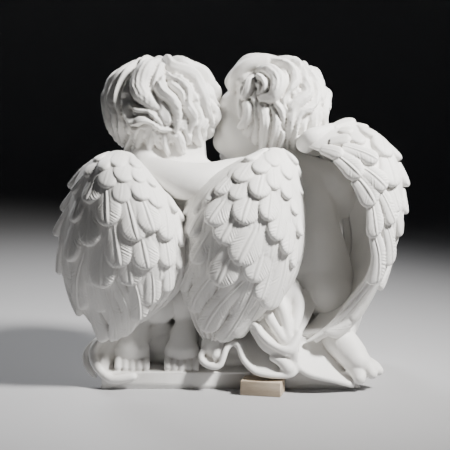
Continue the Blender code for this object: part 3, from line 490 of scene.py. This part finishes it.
RIGHT_LOCKS = (
    (20, 8, (-22, 45), (-6, 53), (10, 54), (27, 45), (38, 30), (46, 14)),
    (16, 7, (14, 52), (36, 38), (46, 22), (47, 2), (44, -16), (42, -30)),
    (15, 8, (24, 44), (25, 32), (34, 14), (31, -2), (18, -9), (14, -28), (15, -44)),
    (12, 6, (40, 2), (33, -14), (30, -34)),
    (10, 6, (46, -6), (44, -20), (40, -32)),
    (10, 6, (26, -12), (22, -28), (22, -42)),
    (9, 6, (-45, -2), (-43, -14), (-40, -26)),
    (11, 8, (-36, 8), (-30, -6), (-33, -18), (-41, -22)),
    (9, 7, (-40, -24), (-33, -34), (-32, -42)),
    (10, 8, (-2, -6), (3, -22), (0, -40), (1, -48)),
    (11, 8, (-10, 2), (-3, -14), (-6, -36), (-8, -47)),
    (12, 8, (-21, 3), (-14, -14), (-15, -34), (-17, -45)),
    (13, 8, (0, 49), (15, 43), (19, 31), (27, 11), (14, -3), (10, -16), (8, -36)),
    (12, 8, (-19, 44), (-1, 40), (12, 31), (15, 21), (6, 11), (2, -1), (7, -8)),
    (9, 8, (-18, 39), (-1, 33), (5, 24), (2, 13), (-5, 4), (2, -10), (4, -24)),
    (18, 9, (-28, 26), (-19, 23), (-15, 16), (-19, 10)),
    (17, 11, (-25, 31), (-10, 31), (-2, 21), (-6, 7), (-19, 4)),
    (8, 9, (-27, 27), (-17, 23), (-13, 15), (-18, 9)),
    (11, 8, (-26, 31), (-28, 18), (-34, 7), (-37, 16)),
    (14, 8, (-10, 48), (-26, 41), (-38, 30), (-44, 18), (-46, 6)),
)

# The foremost lock of the right child's fringe: across, up and radius. The others are smaller, behind it
FRINGE = ((46, 312, 2.5), (34, 316, 3.0), (18, 312.5, 3.4), (5, 302.5, 3.5), (-1, 289, 3.3), (2, 278, 2.6))
FRINGE_LOCKS = 4
FRINGE_SHRINK = 0.115
FRINGE_RIPPLE = 0.022
FRINGE_STEP = 8.5


def opened_out(rays):
    """Places over a ball as seen from behind, in radians, its far side opened out past its outline."""
    near = rays[:, 2] * math.sin(EYE_RISE) - rays[:, 1] * math.cos(EYE_RISE)
    rise = rays[:, 1] * math.sin(EYE_RISE) + rays[:, 2] * math.cos(EYE_RISE)
    angle = np.arccos(np.clip(near, -1, 1))
    heading = np.arctan2(rise, rays[:, 0])
    return np.stack([angle * np.cos(heading), angle * np.sin(heading)], axis=1)


def lay_lock(height, plane, size, radii, width, crest, places):
    """Lays one lock over the hair so far, thick and strand by strand, in a groove of its own."""
    seen = np.array(places, float) / (radii[0], radii[2])
    reach = np.linalg.norm(seen, axis=1, keepdims=True)
    past = math.pi - np.arcsin(np.clip(2 - reach, 0, 1))
    angle = np.where(reach <= 1, np.arcsin(np.clip(reach, 0, 1)), past)
    guide = np.column_stack([seen / reach * angle * size, np.zeros(len(seen))])
    count = int(np.linalg.norm(np.diff(guide, axis=0), axis=1).sum() / LOCK_STEP)
    line = smooth_line(guide, count)[:, :2]
    u = np.linspace(0, 1, count)
    half = width / 2 * (0.25 + 0.75 * np.sin(math.pi * (0.12 + 0.86 * u)) ** 0.7)
    heading = unit(np.gradient(line, axis=0))
    close = np.flatnonzero(((plane > line.min(0) - width) & (plane < line.max(0) + width)).all(1))
    gap = plane[close, None] - line
    share = np.linalg.norm(gap, axis=2) / half
    nearest = share.argmin(1)
    share = share[np.arange(len(close)), nearest]
    off = gap[np.arange(len(close)), nearest]
    side = heading[nearest, 0] * off[:, 1] - heading[nearest, 1] * off[:, 0]
    v = np.clip(side / half[nearest], -1, 1)
    full = (half[nearest] / (width / 2)) ** 0.8 * ramp(u[nearest], -0.12, 0.36)
    strands = max(2, round(width / STRAND_WIDTH))
    relief = np.cos(math.pi * strands * (v + 0.14 * np.sin(5 * u[nearest])))
    lump = np.sin(2 * math.pi * count * LOCK_STEP * u[nearest] / LUMP_LENGTH + places[0][0])
    lumps = 1 + LUMP_SHARE * lump
    top = crest * full * lumps * (1 - np.clip(share, 0, 1) ** 2.6) ** 0.75
    top = top + STRAND_HEIGHT * relief * np.clip(1 - share, 0, 1) ** 0.4 * full
    over = share < 1
    old = height[close]
    groove = GROOVE_SHARE * crest * np.exp(-(((share - 1.05) / 0.3) ** 2)) * full
    laid = SHOWS_THROUGH * np.maximum(old, 0) + top - LOCK_SINK
    beside = np.maximum(old - groove, -DEEPEST_GROOVE)
    height[close] = np.where(over, laid, beside)


def add_hair(clay, centre, radii, face, facing, locks):
    """Wavy locks from the crown all round the skull, and over them the locks that are seen from behind."""
    rays, faces = unit_ball(HAIR_FINENESS)
    turn = math.radians(facing)
    front = rays @ np.array([-math.sin(turn), math.cos(turn), 0])
    around = np.arctan2(rays[:, 1], rays[:, 0])
    down = np.arccos(np.clip(rays[:, 2], -1, 1))
    swing = 1.5 * np.sin(6.5 * down + np.sin(3 * around))
    wave = HAIR_WAVES * around + swing + 0.8 * np.sin(11 * down + 2 * around)
    height = 4.6 * np.abs(np.sin(wave / 2)) ** 0.55 + 0.7 * np.cos(2.5 * wave) - 2.0
    height = height * ramp(down, 0.0, 0.35)
    size = sum(radii) / 3
    plane = opened_out(rays) * size
    for width, crest, *places in locks:
        lay_lock(height, plane, size, radii, width, crest, places)
    bare = ramp(front, 0.42, 0.6) * (1 - ramp(rays[:, 2], 0.3, 0.5)) + ramp(-rays[:, 2], 0.9, 0.98)
    bare = np.clip(bare, 0, 1)
    height = height * (1 - bare) - BARE_DEPTH * bare
    skull = rays * radii
    clay.add(skull + unit(rays / radii) * height[:, None] + centre, faces)


def add_fringe(clay):
    """The fringe over the right child's brow: a soft core, and locks that follow one another over it."""
    for forward in (-7, 0, 7):
        add_roll(
            clay, (36, forward - 4, 311, 5.5), (18, forward - 2, 307, 6.5), (7, forward + 2, 297, 7),
            (3, forward + 6, 288, 5.5), (3, forward + 8, 279, 3.5),
        )
    across, _, up = RIGHT_HEAD["centre"]
    for k in range(FRINGE_LOCKS):
        lock = []
        for i, (x, z, radius) in enumerate(FRINGE):
            size = 1 - FRINGE_SHRINK * k + FRINGE_RIPPLE * (-1) ** i
            y = 3 + 2.4 * i - FRINGE_STEP * k
            lock.append((across + (x - across) * size, y, up + (z - up) * size, radius))
        add_roll(clay, *lock)


def face_frame(centre, face, facing):
    """A way to count places on a face: to its own right, forward and up from the middle of the head."""
    turn = math.radians(facing)
    middle = np.array(centre) + np.array(face)
    axes = np.array([[math.cos(turn), math.sin(turn), 0], [-math.sin(turn), math.cos(turn), 0], [0, 0, 1]])
    return lambda right, front, up: middle + np.array([right, front, up]) @ axes


def add_head(clay, centre, radii, face, facing):
    """A skull, with the soft masses of a child's face turned away from the wings."""
    across, deep, tall = radii
    at = face_frame(centre, face, facing)
    add_ball(clay, centre, (across - 4, deep - 4, tall - 4), fineness=4)
    add_ball(clay, at(0, 13, -14), (37, 36, 36), (0, 0, facing))
    add_ball(clay, at(0, 24, 6), (32, 21, 24), (0, 0, facing))
    for hand in (-1, 1):
        add_ball(clay, at(19 * hand, 27, -23), (17, 16, 15))
        add_ball(clay, at(22 * hand, 20, -6), (14, 17, 18))
    add_ball(clay, at(0, 33, -40), (14, 13, 10))


def add_features(clay, centre, face, facing, **_):
    """Closed eyes, nose, lips and chin, at a child's plain proportions."""
    at = face_frame(centre, face, facing)

    def stroke(*stations):
        add_roll(clay, *(np.append(at(x, front, up), radius) for x, front, up, radius in stations))

    stroke((0, 47, -3, 3.5), (0, 50, -11, 4), (0, 53, -17, 5))
    for hand in (-1, 1):
        add_ball(clay, at(5 * hand, 50, -18), (3.8, 3.8, 3.4))
        add_ball(clay, at(15 * hand, 41.5, -5), (9, 6, 5.5), (0, 0, facing + 14 * hand))
        stroke((7 * hand, 46, -6, 1.3), (14 * hand, 46.5, -8.5, 1.5), (22 * hand, 41.5, -6, 1.3))
        stroke((6 * hand, 46.5, 4, 2), (14 * hand, 45.5, 7, 2.4), (23 * hand, 39, 4, 2))
        stroke((0, 47.5, -27, 2.2), (5 * hand, 47, -26.5, 2.4), (11 * hand, 43.5, -28.5, 1.5))
        stroke((0, 46.5, -31.5, 2.6), (5 * hand, 45.5, -31.5, 2.4), (10 * hand, 43, -29.5, 1.5))


# Bodies


def add_flesh(clay):
    """The two bodies with their arms and legs, in soft masses."""
    # Left child, kneeling
    add_ball(clay, (-62, -16, 86), (42, 34, 32))
    add_ball(clay, (-72, -40, 78), (23, 22, 23))
    add_ball(clay, (-45, -40, 80), (21, 22, 22))
    add_roll(clay, (-62, -12, 96, 38), (-58, -14, 140, 37), (-54, -14, 178, 38), (-52, -14, 198, 30))
    add_roll(clay, (-98, -18, 196, 17), (-60, -20, 206, 19), (-28, -24, 200, 17))
    add_roll(clay, (-56, -18, 206, 23), (-54, -12, 240, 22))
    add_roll(clay, (-42, -16, 204, 20), (-43, -8, 236, 19))
    add_roll(clay, (-80, -12, 78, 30), (-98, 26, 56, 27), (-108, 50, 38, 22))
    add_roll(clay, (-44, -12, 80, 29), (-38, 26, 58, 26), (-34, 50, 40, 22))
    add_roll(clay, (-108, 50, 32, 18), (-98, 0, 32, 18), (-90, -40, 44, 15))
    add_roll(clay, (-34, 50, 32, 18), (-40, 0, 32, 18), (-45, -40, 42, 15))
    add_ball(clay, (-82, -34, 218), (16, 13, 14))
    add_ball(clay, (-45, -30, 166), (17, 20, 32))
    # Right child, leaning to the left one
    add_ball(clay, (88, -12, 92), (38, 36, 34))
    add_ball(clay, (96, -30, 84), (26, 24, 25))
    add_roll(clay, (86, -8, 104, 36), (76, -10, 142, 34), (64, -8, 180, 36), (54, -8, 200, 29))
    add_roll(clay, (96, -12, 196, 17), (56, -14, 205, 19), (18, -14, 198, 17))
    add_roll(clay, (46, -10, 204, 21), (44, -2, 240, 20))
    add_roll(clay, (96, -10, 84, 31), (110, 26, 60, 27), (112, 48, 40, 23))
    add_roll(clay, (70, -8, 84, 30), (52, 28, 58, 27), (44, 52, 38, 22))
    add_roll(clay, (112, 48, 32, 19), (108, 0, 34, 18), (100, -44, 40, 15))
    # Arms
    add_roll(
        clay, (-88, -36, 209, 11), (-70, -48, 206, 15), (-50, -56, 200, 18.5), (-32, -58, 199, 18),
        (-15, -56, 205, 13), (5, -50, 211, 10), (28, -44, 214, 9),
    )
    add_roll(clay, (-102, -10, 192, 18), (-120, 14, 150, 16), (-112, 44, 108, 13), (-94, 56, 84, 12))
    add_ball(clay, (-90, 60, 78), (14, 12, 8), (0, 20, 0))
    add_roll(
        clay, (104, -4, 190, 18), (112, 26, 150, 16), (66, 50, 134, 14), (16, 50, 146, 12),
        (-24, 40, 158, 10),
    )
    add_ball(clay, (-38, 35, 162), (17, 8, 12), (0, 0, 20))
    # Chests and bellies
    for x, lean in ((-56, -3), (64, 7)):
        for hand in (-1, 1):
            add_ball(clay, (x + 15 * hand, 10, 174), (19, 16, 19))
        add_ball(clay, (x + lean, 10, 146), (32, 22, 36))
        add_ball(clay, (x + 1.6 * lean, 15, 114), (33, 26, 31))


def add_soles(clay):
    """The kneeling child's upright soles, and the other's, turned up over the plinth's corner."""
    add_roll(clay, (-86, -44, 68, 9), (-91, -50, 56, 11), (-94, -54, 42, 14))
    add_ball(clay, (-95, -60, 34), (17.5, 13, 12))
    add_ball(clay, (-95, -62, 28), (18, 11, 8))
    add_roll(clay, (-42, -42, 64, 9), (-44, -49, 52, 12), (-46, -55, 40, 14))
    add_ball(clay, (-47, -60, 33), (18, 13, 12))
    add_ball(clay, (-47, -62, 28), (18, 11, 8))
    add_ball(clay, (-70, -34, 38), (15, 13, 28))
    add_roll(clay, (98, -50, 50, 14), (108, -62, 42, 16), (118, -74, 32, 15))
    add_ball(clay, (124, -80, 26), (15, 14, 12), (0, 30, 0))


def add_toes(clay):
    """The kneeling child's tucked toes, and the three that show on the other's foot."""
    for middle in (-95, -47):
        for k in range(-2, 3):
            x, z = middle + 6.8 * k, 20.5 + 0.6 * abs(k)
            add_roll(clay, (x, -64, z + 4, 3.4), (x, -71, z + 2, 3.7), (x, -76, z - 2, 3.5))
    add_roll(clay, (117, -80, 24, 8), (123, -88, 17, 7.5), (124, -93, 13, 6))
    add_roll(clay, (126, -78, 26, 8), (133, -85, 21, 7), (136, -90, 17, 5.5))
    add_roll(clay, (130, -74, 26, 6), (139, -79, 21, 6), (143, -83, 18, 4.8))


def add_fingers(clay):
    """The hand laid on the left child's chest, and that child's own hand on a knee."""
    for k in range(4):
        z = 170 - 5.5 * k
        add_roll(clay, (-42, 37, z - 1, 3.6), (-54, 33.5, z, 3.4), (-64 + abs(k - 1), 29.5, z + 1, 2.8))
        x = -98 + 5.5 * k
        add_roll(clay, (x, 61, 77, 3.8), (x - 1, 66, 66, 3.5), (x - 3, 66, 57 + abs(k - 1), 2.9))
    add_roll(clay, (-34, 38, 168, 4), (-42, 36, 177, 3.2))
    add_roll(clay, (-80, 58, 78, 4), (-75, 56, 69, 3.2))


# Cloth

HEM = (
    (-22, -80, 42), (-28, -84, 34), (-26, -90, 28), (-18, -95, 25), (-10, -95, 26), (-6, -92, 35),
    (-3, -88, 42), (3, -84, 46), (8, -86, 43), (11, -92, 35), (15, -98, 29), (24, -104, 22),
    (34, -107, 20), (45, -107, 19), (57, -104, 19), (62, -100, 22), (62, -97, 28), (60, -95, 36),
    (65, -98, 26), (73, -101, 20), (82, -102, 17), (95, -101, 14), (110, -96, 9), (117, -92, 6),
)
HEM_BACK = (
    (-30, -50, 50), (-10, -56, 48), (20, -60, 54), (50, -60, 56), (66, -62, 50), (90, -58, 38),
    (118, -56, 22),
)
RIDGE = (
    (-8, -76, 48), (2, -79, 55), (14, -84, 62), (23, -91, 65), (29, -97, 57), (37, -102, 50),
    (47, -102, 44), (54, -99, 42), (62, -94, 50), (66, -88, 55),
)
RIDGE_BACK = ((6, -44, 92), (30, -46, 98), (52, -44, 98), (72, -44, 90), (86, -44, 78))
LEFT_FOLD = (
    (-128, -60, 42), (-133, -66, 35), (-133, -71, 28), (-129, -77, 21), (-122, -82, 14),
    (-114, -86, 10), (-105, -87, 11), (-94, -86, 13),
)
LEFT_FOLD_BACK = (
    (-103, -58, 50), (-109, -56, 37), (-115, -56, 27), (-116, -58, 19), (-113, -62, 13), (-108, -66, 10),
    (-101, -70, 10), (-96, -72, 11),
)
FRONT_FOLDS = 14


def add_sheet(clay, near, far, sag, thickness, steps=60):
    """A sheet of cloth from a near edge to a far one, with a thick round hem on the near edge."""
    near = smooth_line(near, steps)
    far = smooth_line(far, steps)
    w = np.linspace(0, 1, SHEET_STEPS)[None, :, None]
    middle = near + np.array([0.0, 12.0, sag])
    top = near[:, None] * (1 - w) ** 2 + 2 * middle[:, None] * w * (1 - w) + far[:, None] * w**2
    down = np.cross(np.gradient(top, axis=0), np.gradient(top, axis=1))
    down = unit(down) * np.where(down[..., 2:] > 0, -1, 1)
    add_slab(clay, top - down * thickness / 2, top + down * thickness / 2)
    add_roll(clay, *np.column_stack([near, np.full(steps, 0.62 * thickness)]))


def add_cloth(clay):
    """The drapery, from the hips and laps down to the plinth."""
    add_sheet(clay, HEM, HEM_BACK, -2, 5)
    add_sheet(clay, RIDGE, RIDGE_BACK, -12, 5)
    # The knot where hem and ridge meet, and the lobe that hangs from it
    add_roll(clay, (47, -102, 44, 3.5), (56, -100, 42, 5), (62, -95, 48, 4.5), (66, -89, 57, 3))
    add_roll(clay, (60, -97, 43, 5.5), (61, -97, 34, 4.5))
    add_roll(clay, (40, -98, 34, 3), (49, -101, 31, 5), (55, -103, 25, 6.5))
    # Cloth and folds in the hollows behind the hem
    add_ball(clay, (-14, -70, 40), (14, 16, 15))
    add_ball(clay, (48, -52, 84), (24, 18, 28))
    add_roll(clay, (24, -84, 58, 5), (36, -93, 43, 5), (58, -97, 36, 3.5))
    add_roll(clay, (2, -70, 56, 5), (-8, -78, 46, 5), (-14, -88, 34, 4))
    # Folds that fall from the right child's hip
    add_roll(clay, (33, -70, 82, 5), (38, -82, 70, 5), (50, -92, 52, 4))
    add_roll(clay, (42, -64, 94, 5.5), (52, -78, 74, 5.5), (56, -90, 54, 4))
    add_roll(clay, (52, -52, 104, 6.5), (66, -66, 82, 6), (62, -84, 58, 4.5))
    add_ball(clay, (56, -88, 46), (10, 8, 9))
    add_roll(clay, (44, -55, 92, 14), (50, -64, 74, 11.5), (54, -78, 54, 8))
    # The folds round the left child's foot
    add_sheet(clay, LEFT_FOLD, LEFT_FOLD_BACK, -2, 7)
    add_roll(
        clay, (-130, -52, 42, 3), (-137, -54, 35, 3.5), (-141, -56, 28, 3.5), (-141, -60, 22, 3.5),
        (-137, -66, 15, 3.5), (-132, -70, 10, 3),
    )
    add_roll(clay, (-120, -38, 44, 8), (-126, -44, 30, 10), (-122, -50, 18, 9))
    add_ball(clay, (-110, -40, 28), (20, 18, 24))
    # Cloth under the bodies, and over the laps down to the front of the plinth
    add_ball(clay, (0, 0, 22), (116, 66, 18), fineness=4)
    add_ball(clay, (-66, -22, 30), (40, 30, 26))
    add_ball(clay, (10, -26, 36), (50, 36, 28))
    add_roll(clay, (6, -6, 40, 40), (8, -20, 80, 20))
    # The folds of the cloth gathered between the laps
    for across in (-24, -9, 7, 22):
        inward = 0.3 * abs(across)
        add_roll(
            clay, (8 + 0.3 * across, -10, 98, 3), (8 + 0.6 * across, 2 - inward, 84, 4.5),
            (7 + across, 24 - inward, 60, 6), (7 + 1.3 * across, 38 - inward, 38, 5),
        )
    add_ball(clay, (72, -26, 36), (40, 40, 28))
    hem, lap = [], []
    for k in range(FRONT_FOLDS + 1):
        share = 2 * k / FRONT_FOLDS - 1
        hem.append((116 * share, 74 + 3.5 * (-1) ** k, 19 + 2 * math.sin(2.3 * k)))
        lap.append((104 * share, 22 + 2 * (-1) ** k, 62))
    add_sheet(clay, hem, lap, 36, 6, steps=120)


def add_plinth(clay):
    """The plinth, run on below the floor so that its underside can be cut flat, with worn corners."""
    long, deep, thick = (size / UNIT for size in (PLINTH_LENGTH, PLINTH_DEPTH, PLINTH_THICKNESS))
    x = np.linspace(-1, 1, 121)[:, None] * (long / 2)
    y = np.linspace(-1, 1, 81)[None, :] * (deep / 2)
    x, y = np.broadcast_arrays(x, y)
    level = np.full(x.shape, thick)
    add_slab(clay, np.stack([x, y, level], axis=-1), np.stack([x, y, 0 * level - 6], axis=-1))
    for side in (-1, 1):
        add_ball(clay, (side * (long / 2 - 1.5), -deep / 2 + 1.2, 1.5), (3.2, 2.4, 2.6))


# The cast


def cutter(name, centre, size, turn=0.0):
    """A box that is cut away."""
    bpy.ops.mesh.primitive_cube_add(size=1, location=centre, rotation=(0, 0, turn))
    made = bpy.context.object
    made.name = name
    made.scale = size
    bpy.ops.object.transform_apply(location=True, rotation=True, scale=True)
    return made


def cut(made, cutters):
    """The mesh of an object with the cutters' shapes taken away. The object and the cutters are removed."""
    for other in cutters:
        step = made.modifiers.new(other.name, "BOOLEAN")
        step.operation = "DIFFERENCE"
        step.solver = "EXACT"
        step.object = other
    mesh = evaluated_mesh(made)
    for other in cutters:
        bpy.data.objects.remove(other)
    return mesh


def angel_cast():
    """The two children, their drapery and the plinth, as one skin with a flat underside."""
    flesh = Clay()
    add_flesh(flesh)
    add_soles(flesh)
    for head in (LEFT_HEAD, RIGHT_HEAD):
        add_head(flesh, **head)
    body = fuse(flesh, "flesh", FLESH_VOXEL, FLESH_SMOOTHING)

    cloth = Clay()
    add_cloth(cloth)
    drapery = fuse(cloth, "drapery", CLOTH_VOXEL, CLOTH_SMOOTHING)

    clay = Clay()
    clay.add(*mesh_arrays(body))
    clay.add(*mesh_arrays(drapery))
    add_plinth(clay)
    add_toes(clay)
    add_fingers(clay)
    for head, locks in ((LEFT_HEAD, LEFT_LOCKS), (RIGHT_HEAD, RIGHT_LOCKS)):
        add_features(clay, **head)
        add_hair(clay, **head, locks=locks)
    add_fringe(clay)
    # The kneeling child's seat
    add_ball(clay, (-70, -48, 76), (19, 17, 19), fineness=4)
    skin = fuse(clay, "skin", SKIN_VOXEL, SKIN_SMOOTHING)
    cast = bpy.data.objects.new("cast", thinned(skin, CAST_TRIANGLES))
    bpy.context.scene.collection.objects.link(cast)
    floor = cutter("floor", (0, 0, -0.05), (1, 1, 0.1))
    centre = (BLOCK_LOW + BLOCK_HIGH) / 2
    height = BLOCK_HIGH.z - BLOCK_LOW.z
    seat_size = (BLOCK_LENGTH + 2 * CLEARANCE, BLOCK_DEPTH + 2 * CLEARANCE, height + 2 * CLEARANCE)
    seat = cutter("seat", centre, seat_size, BLOCK_TURN)
    made = bpy.data.objects.new("plaster_cherub_pair", cut(cast, [floor, seat]))
    bpy.context.scene.collection.objects.link(made)
    made.data.shade_smooth()
    return made


def wing_cast(name, *plumage, knob=False, **shell):
    """A wing of the same cast, run into the shoulders. A knob is the rolled root at its top edge."""
    clay = Clay()
    add_wing(clay, *plumage, **shell)
    if knob:
        add_roll(clay, (73, -44, 234, 9.5), (79, -50, 241, 8.5), (92, -44, 246, 6), (112, -30, 250, 4))
    skin = fuse(clay, name, WING_VOXEL, SKIN_SMOOTHING)
    made = bpy.data.objects.new(name, thinned(skin, WING_TRIANGLES))
    bpy.context.scene.collection.objects.link(made)
    made.data.shade_smooth()
    return made


# Materials


def new_material(name):
    """A material, with its nodes, its links and its shader."""
    made = bpy.data.materials.new(name)
    made.use_nodes = True
    nodes, links = made.node_tree.nodes, made.node_tree.links
    return made, nodes, links, nodes["Principled BSDF"]


def place_noise(nodes, links, scale, detail=4.0, stretch=(1, 1, 1)):
    """Noise over the object's own coordinates, in metres."""
    place = nodes.new("ShaderNodeTexCoord")
    mapping = nodes.new("ShaderNodeMapping")
    mapping.inputs["Scale"].default_value = stretch
    noise = nodes.new("ShaderNodeTexNoise")
    noise.inputs["Scale"].default_value = scale
    noise.inputs["Detail"].default_value = detail
    links.new(place.outputs["Object"], mapping.inputs["Vector"])
    links.new(mapping.outputs["Vector"], noise.inputs["Vector"])
    return noise


def colour_ramp(nodes, links, source, stops):
    """Colours that a source picks from between stops, each a position and a colour."""
    ramp_node = nodes.new("ShaderNodeValToRGB")
    while len(ramp_node.color_ramp.elements) < len(stops):
        ramp_node.color_ramp.elements.new(0.5)
    for element, (position, colour) in zip(ramp_node.color_ramp.elements, stops):
        element.position = position
        element.color = (*colour, 1.0)
    links.new(source, ramp_node.inputs["Fac"])
    return ramp_node


def plaster():
    """Matt white plaster, faintly mottled, with painted shade that greys its hollows and creases, and brush
    marks and pinholes.
    """
    made, nodes, links, shader = new_material("white plaster")
    shader.inputs["Specular IOR Level"].default_value = 0.35
    shape = nodes.new("ShaderNodeNewGeometry")
    # Painted shade: the base colour darkens to a warm grey where Pointiness marks hollows and creases
    hollow = colour_ramp(nodes, links, shape.outputs["Pointiness"], (
        (0.40, (0.46, 0.43, 0.395)), (0.485, (0.79, 0.78, 0.76)), (0.56, (0.84, 0.835, 0.82)),
    ))
    mottle = place_noise(nodes, links, 28, 5)
    tint = colour_ramp(nodes, links, mottle.outputs["Fac"], (
        (0.3, (0.955, 0.95, 0.94)), (0.7, (1.0, 1.0, 1.0)),
    ))
    mix = nodes.new("ShaderNodeMix")
    mix.data_type = "RGBA"
    mix.blend_type = "MULTIPLY"
    mix.inputs["Factor"].default_value = 1.0
    links.new(hollow.outputs["Color"], mix.inputs["A"])
    links.new(tint.outputs["Color"], mix.inputs["B"])
    links.new(mix.outputs["Result"], shader.inputs["Base Color"])
    gloss = place_noise(nodes, links, 60, 3)
    span = nodes.new("ShaderNodeMapRange")
    span.inputs["To Min"].default_value = 0.48
    span.inputs["To Max"].default_value = 0.66
    links.new(gloss.outputs["Fac"], span.inputs["Value"])
    links.new(span.outputs["Result"], shader.inputs["Roughness"])

    brush = place_noise(nodes, links, 420, 3, (1, 1, 0.25))
    grain = place_noise(nodes, links, 1500, 2)
    place = nodes.new("ShaderNodeTexCoord")
    pores = nodes.new("ShaderNodeTexVoronoi")
    pores.inputs["Scale"].default_value = 160
    links.new(place.outputs["Object"], pores.inputs["Vector"])
    pinhole = colour_ramp(nodes, links, pores.outputs["Distance"], ((0.0, (0, 0, 0)), (0.07, (1, 1, 1))))
    bump = None
    for height, strength, distance in (
        (brush.outputs["Fac"], 0.25, 0.0004), (grain.outputs["Fac"], 0.12, 0.0002),
        (pinhole.outputs["Color"], 0.35, 0.0004),
    ):
        step = nodes.new("ShaderNodeBump")
        step.inputs["Strength"].default_value = strength
        step.inputs["Distance"].default_value = distance
        links.new(height, step.inputs["Height"])
        if bump:
            links.new(bump.outputs["Normal"], step.inputs["Normal"])
        bump = step
    links.new(bump.outputs["Normal"], shader.inputs["Normal"])
    return made


def raw_wood():
    """Sawn softwood: straight grain along the block, with darker late wood and rough saw marks."""
    made, nodes, links, shader = new_material("raw wood")
    grain = place_noise(nodes, links, 90, 6, (0.12, 1, 1))
    tone = colour_ramp(nodes, links, grain.outputs["Fac"], (
        (0.25, (0.30, 0.23, 0.16)), (0.5, (0.46, 0.38, 0.29)), (0.75, (0.56, 0.48, 0.39)),
    ))
    links.new(tone.outputs["Color"], shader.inputs["Base Color"])
    shader.inputs["Roughness"].default_value = 0.78
    marks = place_noise(nodes, links, 700, 3, (0.15, 1, 1))
    bump = nodes.new("ShaderNodeBump")
    bump.inputs["Strength"].default_value = 0.5
    bump.inputs["Distance"].default_value = 0.0004
    links.new(marks.outputs["Fac"], bump.inputs["Height"])
    links.new(bump.outputs["Normal"], shader.inputs["Normal"])
    return made


# The wooden block


def wood_block():
    """The block, with worn edges."""
    centre = (BLOCK_LOW + BLOCK_HIGH) / 2
    height = BLOCK_HIGH.z - BLOCK_LOW.z
    made = cutter("sawn_wood_block", centre, (BLOCK_LENGTH, BLOCK_DEPTH, height), BLOCK_TURN)
    edge = made.modifiers.new("worn edges", "BEVEL")
    edge.width = BLOCK_WEAR
    edge.segments = 3
    mesh = evaluated_mesh(made)
    made = bpy.data.objects.new("sawn_wood_block", mesh)
    bpy.context.scene.collection.objects.link(made)
    mesh.shade_smooth()
    mesh.set_sharp_from_angle(angle=math.radians(35))
    return made


# The studio

TARGET = Vector((-0.0044, 0, 0.130))
DISTANCE = 1.55
ELEVATION = math.radians(9)
LENS = 140.5
SWEEP_START = 1.2
SWEEP_RADIUS = 0.8
FLOOR_COLOUR = (0.38, 0.38, 0.39, 1.0)
SKY_COLOUR = (0.9, 0.93, 1.0, 1.0)
SKY_STRENGTH = 0.012

# Lights: name, place and size in metres, power in watts, spread in degrees, and colour
LIGHTS = (
    ("key", (0.78, -0.42, 1.02), 0.18, 4.6, 50, (1.0, 0.98, 0.95)),
    ("front", (-0.6, 1.0, 0.95), 0.4, 2.0, 60, (0.97, 0.98, 1.0)),
    ("fill", (-0.5, -1.4, 0.6), 1.0, 0.05, 120, (1.0, 1.0, 1.0)),
)
LIT_POINT = Vector((0, 0, 0.13))


def studio():
    """A pale floor that sweeps up into a backdrop, and soft light from the upper right and the front."""
    profile = [(-3.0, 0.0), (SWEEP_START, 0.0)]
    for angle in np.linspace(0.1, math.pi / 2, 16):
        back = SWEEP_START + SWEEP_RADIUS * math.sin(angle)
        profile.append((back, SWEEP_RADIUS - SWEEP_RADIUS * math.cos(angle)))
    profile.append((SWEEP_START + SWEEP_RADIUS, 4.0))
    points = [(x, y, z) for y, z in profile for x in (-4.0, 4.0)]
    faces = [(2 * k, 2 * k + 1, 2 * k + 3, 2 * k + 2) for k in range(len(profile) - 1)]
    mesh = bpy.data.meshes.new("floor")
    mesh.from_pydata(points, [], faces)
    mesh.shade_smooth()
    floor = bpy.data.objects.new("floor", mesh)
    bpy.context.scene.collection.objects.link(floor)
    paper, _, _, shader = new_material("pale paper")
    shader.inputs["Base Color"].default_value = FLOOR_COLOUR
    shader.inputs["Roughness"].default_value = 0.8
    mesh.materials.append(paper)

    world = bpy.data.worlds.new("studio")
    bpy.context.scene.world = world
    world.use_nodes = True
    world.node_tree.nodes["Background"].inputs["Color"].default_value = SKY_COLOUR
    world.node_tree.nodes["Background"].inputs["Strength"].default_value = SKY_STRENGTH
    for name, place, size, power, spread, colour in LIGHTS:
        light = bpy.data.lights.new(name, "AREA")
        light.size = size
        light.energy = power
        light.spread = math.radians(spread)
        light.color = colour
        lamp = bpy.data.objects.new(name, light)
        lamp.location = place
        lamp.rotation_euler = (LIT_POINT - Vector(place)).to_track_quat("-Z", "Y").to_euler()
        bpy.context.scene.collection.objects.link(lamp)


def camera():
    """The camera, behind the figures and a little above their middle."""
    seen = bpy.data.cameras.new("camera")
    seen.lens = LENS
    seen.sensor_width = 36
    made = bpy.data.objects.new("camera", seen)
    made.location = TARGET + Vector((0, -math.cos(ELEVATION), math.sin(ELEVATION))) * DISTANCE
    made.rotation_euler = (TARGET - made.location).to_track_quat("-Z", "Y").to_euler()
    bpy.context.scene.collection.objects.link(made)
    bpy.context.scene.camera = made


camera()
studio()

cast = angel_cast()
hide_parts("angel_pair")
wings = (
    wing_cast("left_wing", LEFT_WING, LEFT_FEATHERS, UNDER_ROWS, **CLOSED_SHELL),
    wing_cast("middle_wing", MIDDLE_WING, MIDDLE_FEATHERS, UNDER_ROWS, **CLOSED_SHELL),
    wing_cast("right_wing", RIGHT_WING, RIGHT_FEATHERS, RIGHT_ROWS, knob=True, **CUPPED_SHELL),
)
white = plaster()
for piece in (cast, *wings):
    piece.data.materials.append(white)
    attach(piece, "root")

block = wood_block()
block.data.materials.append(raw_wood())
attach(block, "root")
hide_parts("wooden_prop_block")
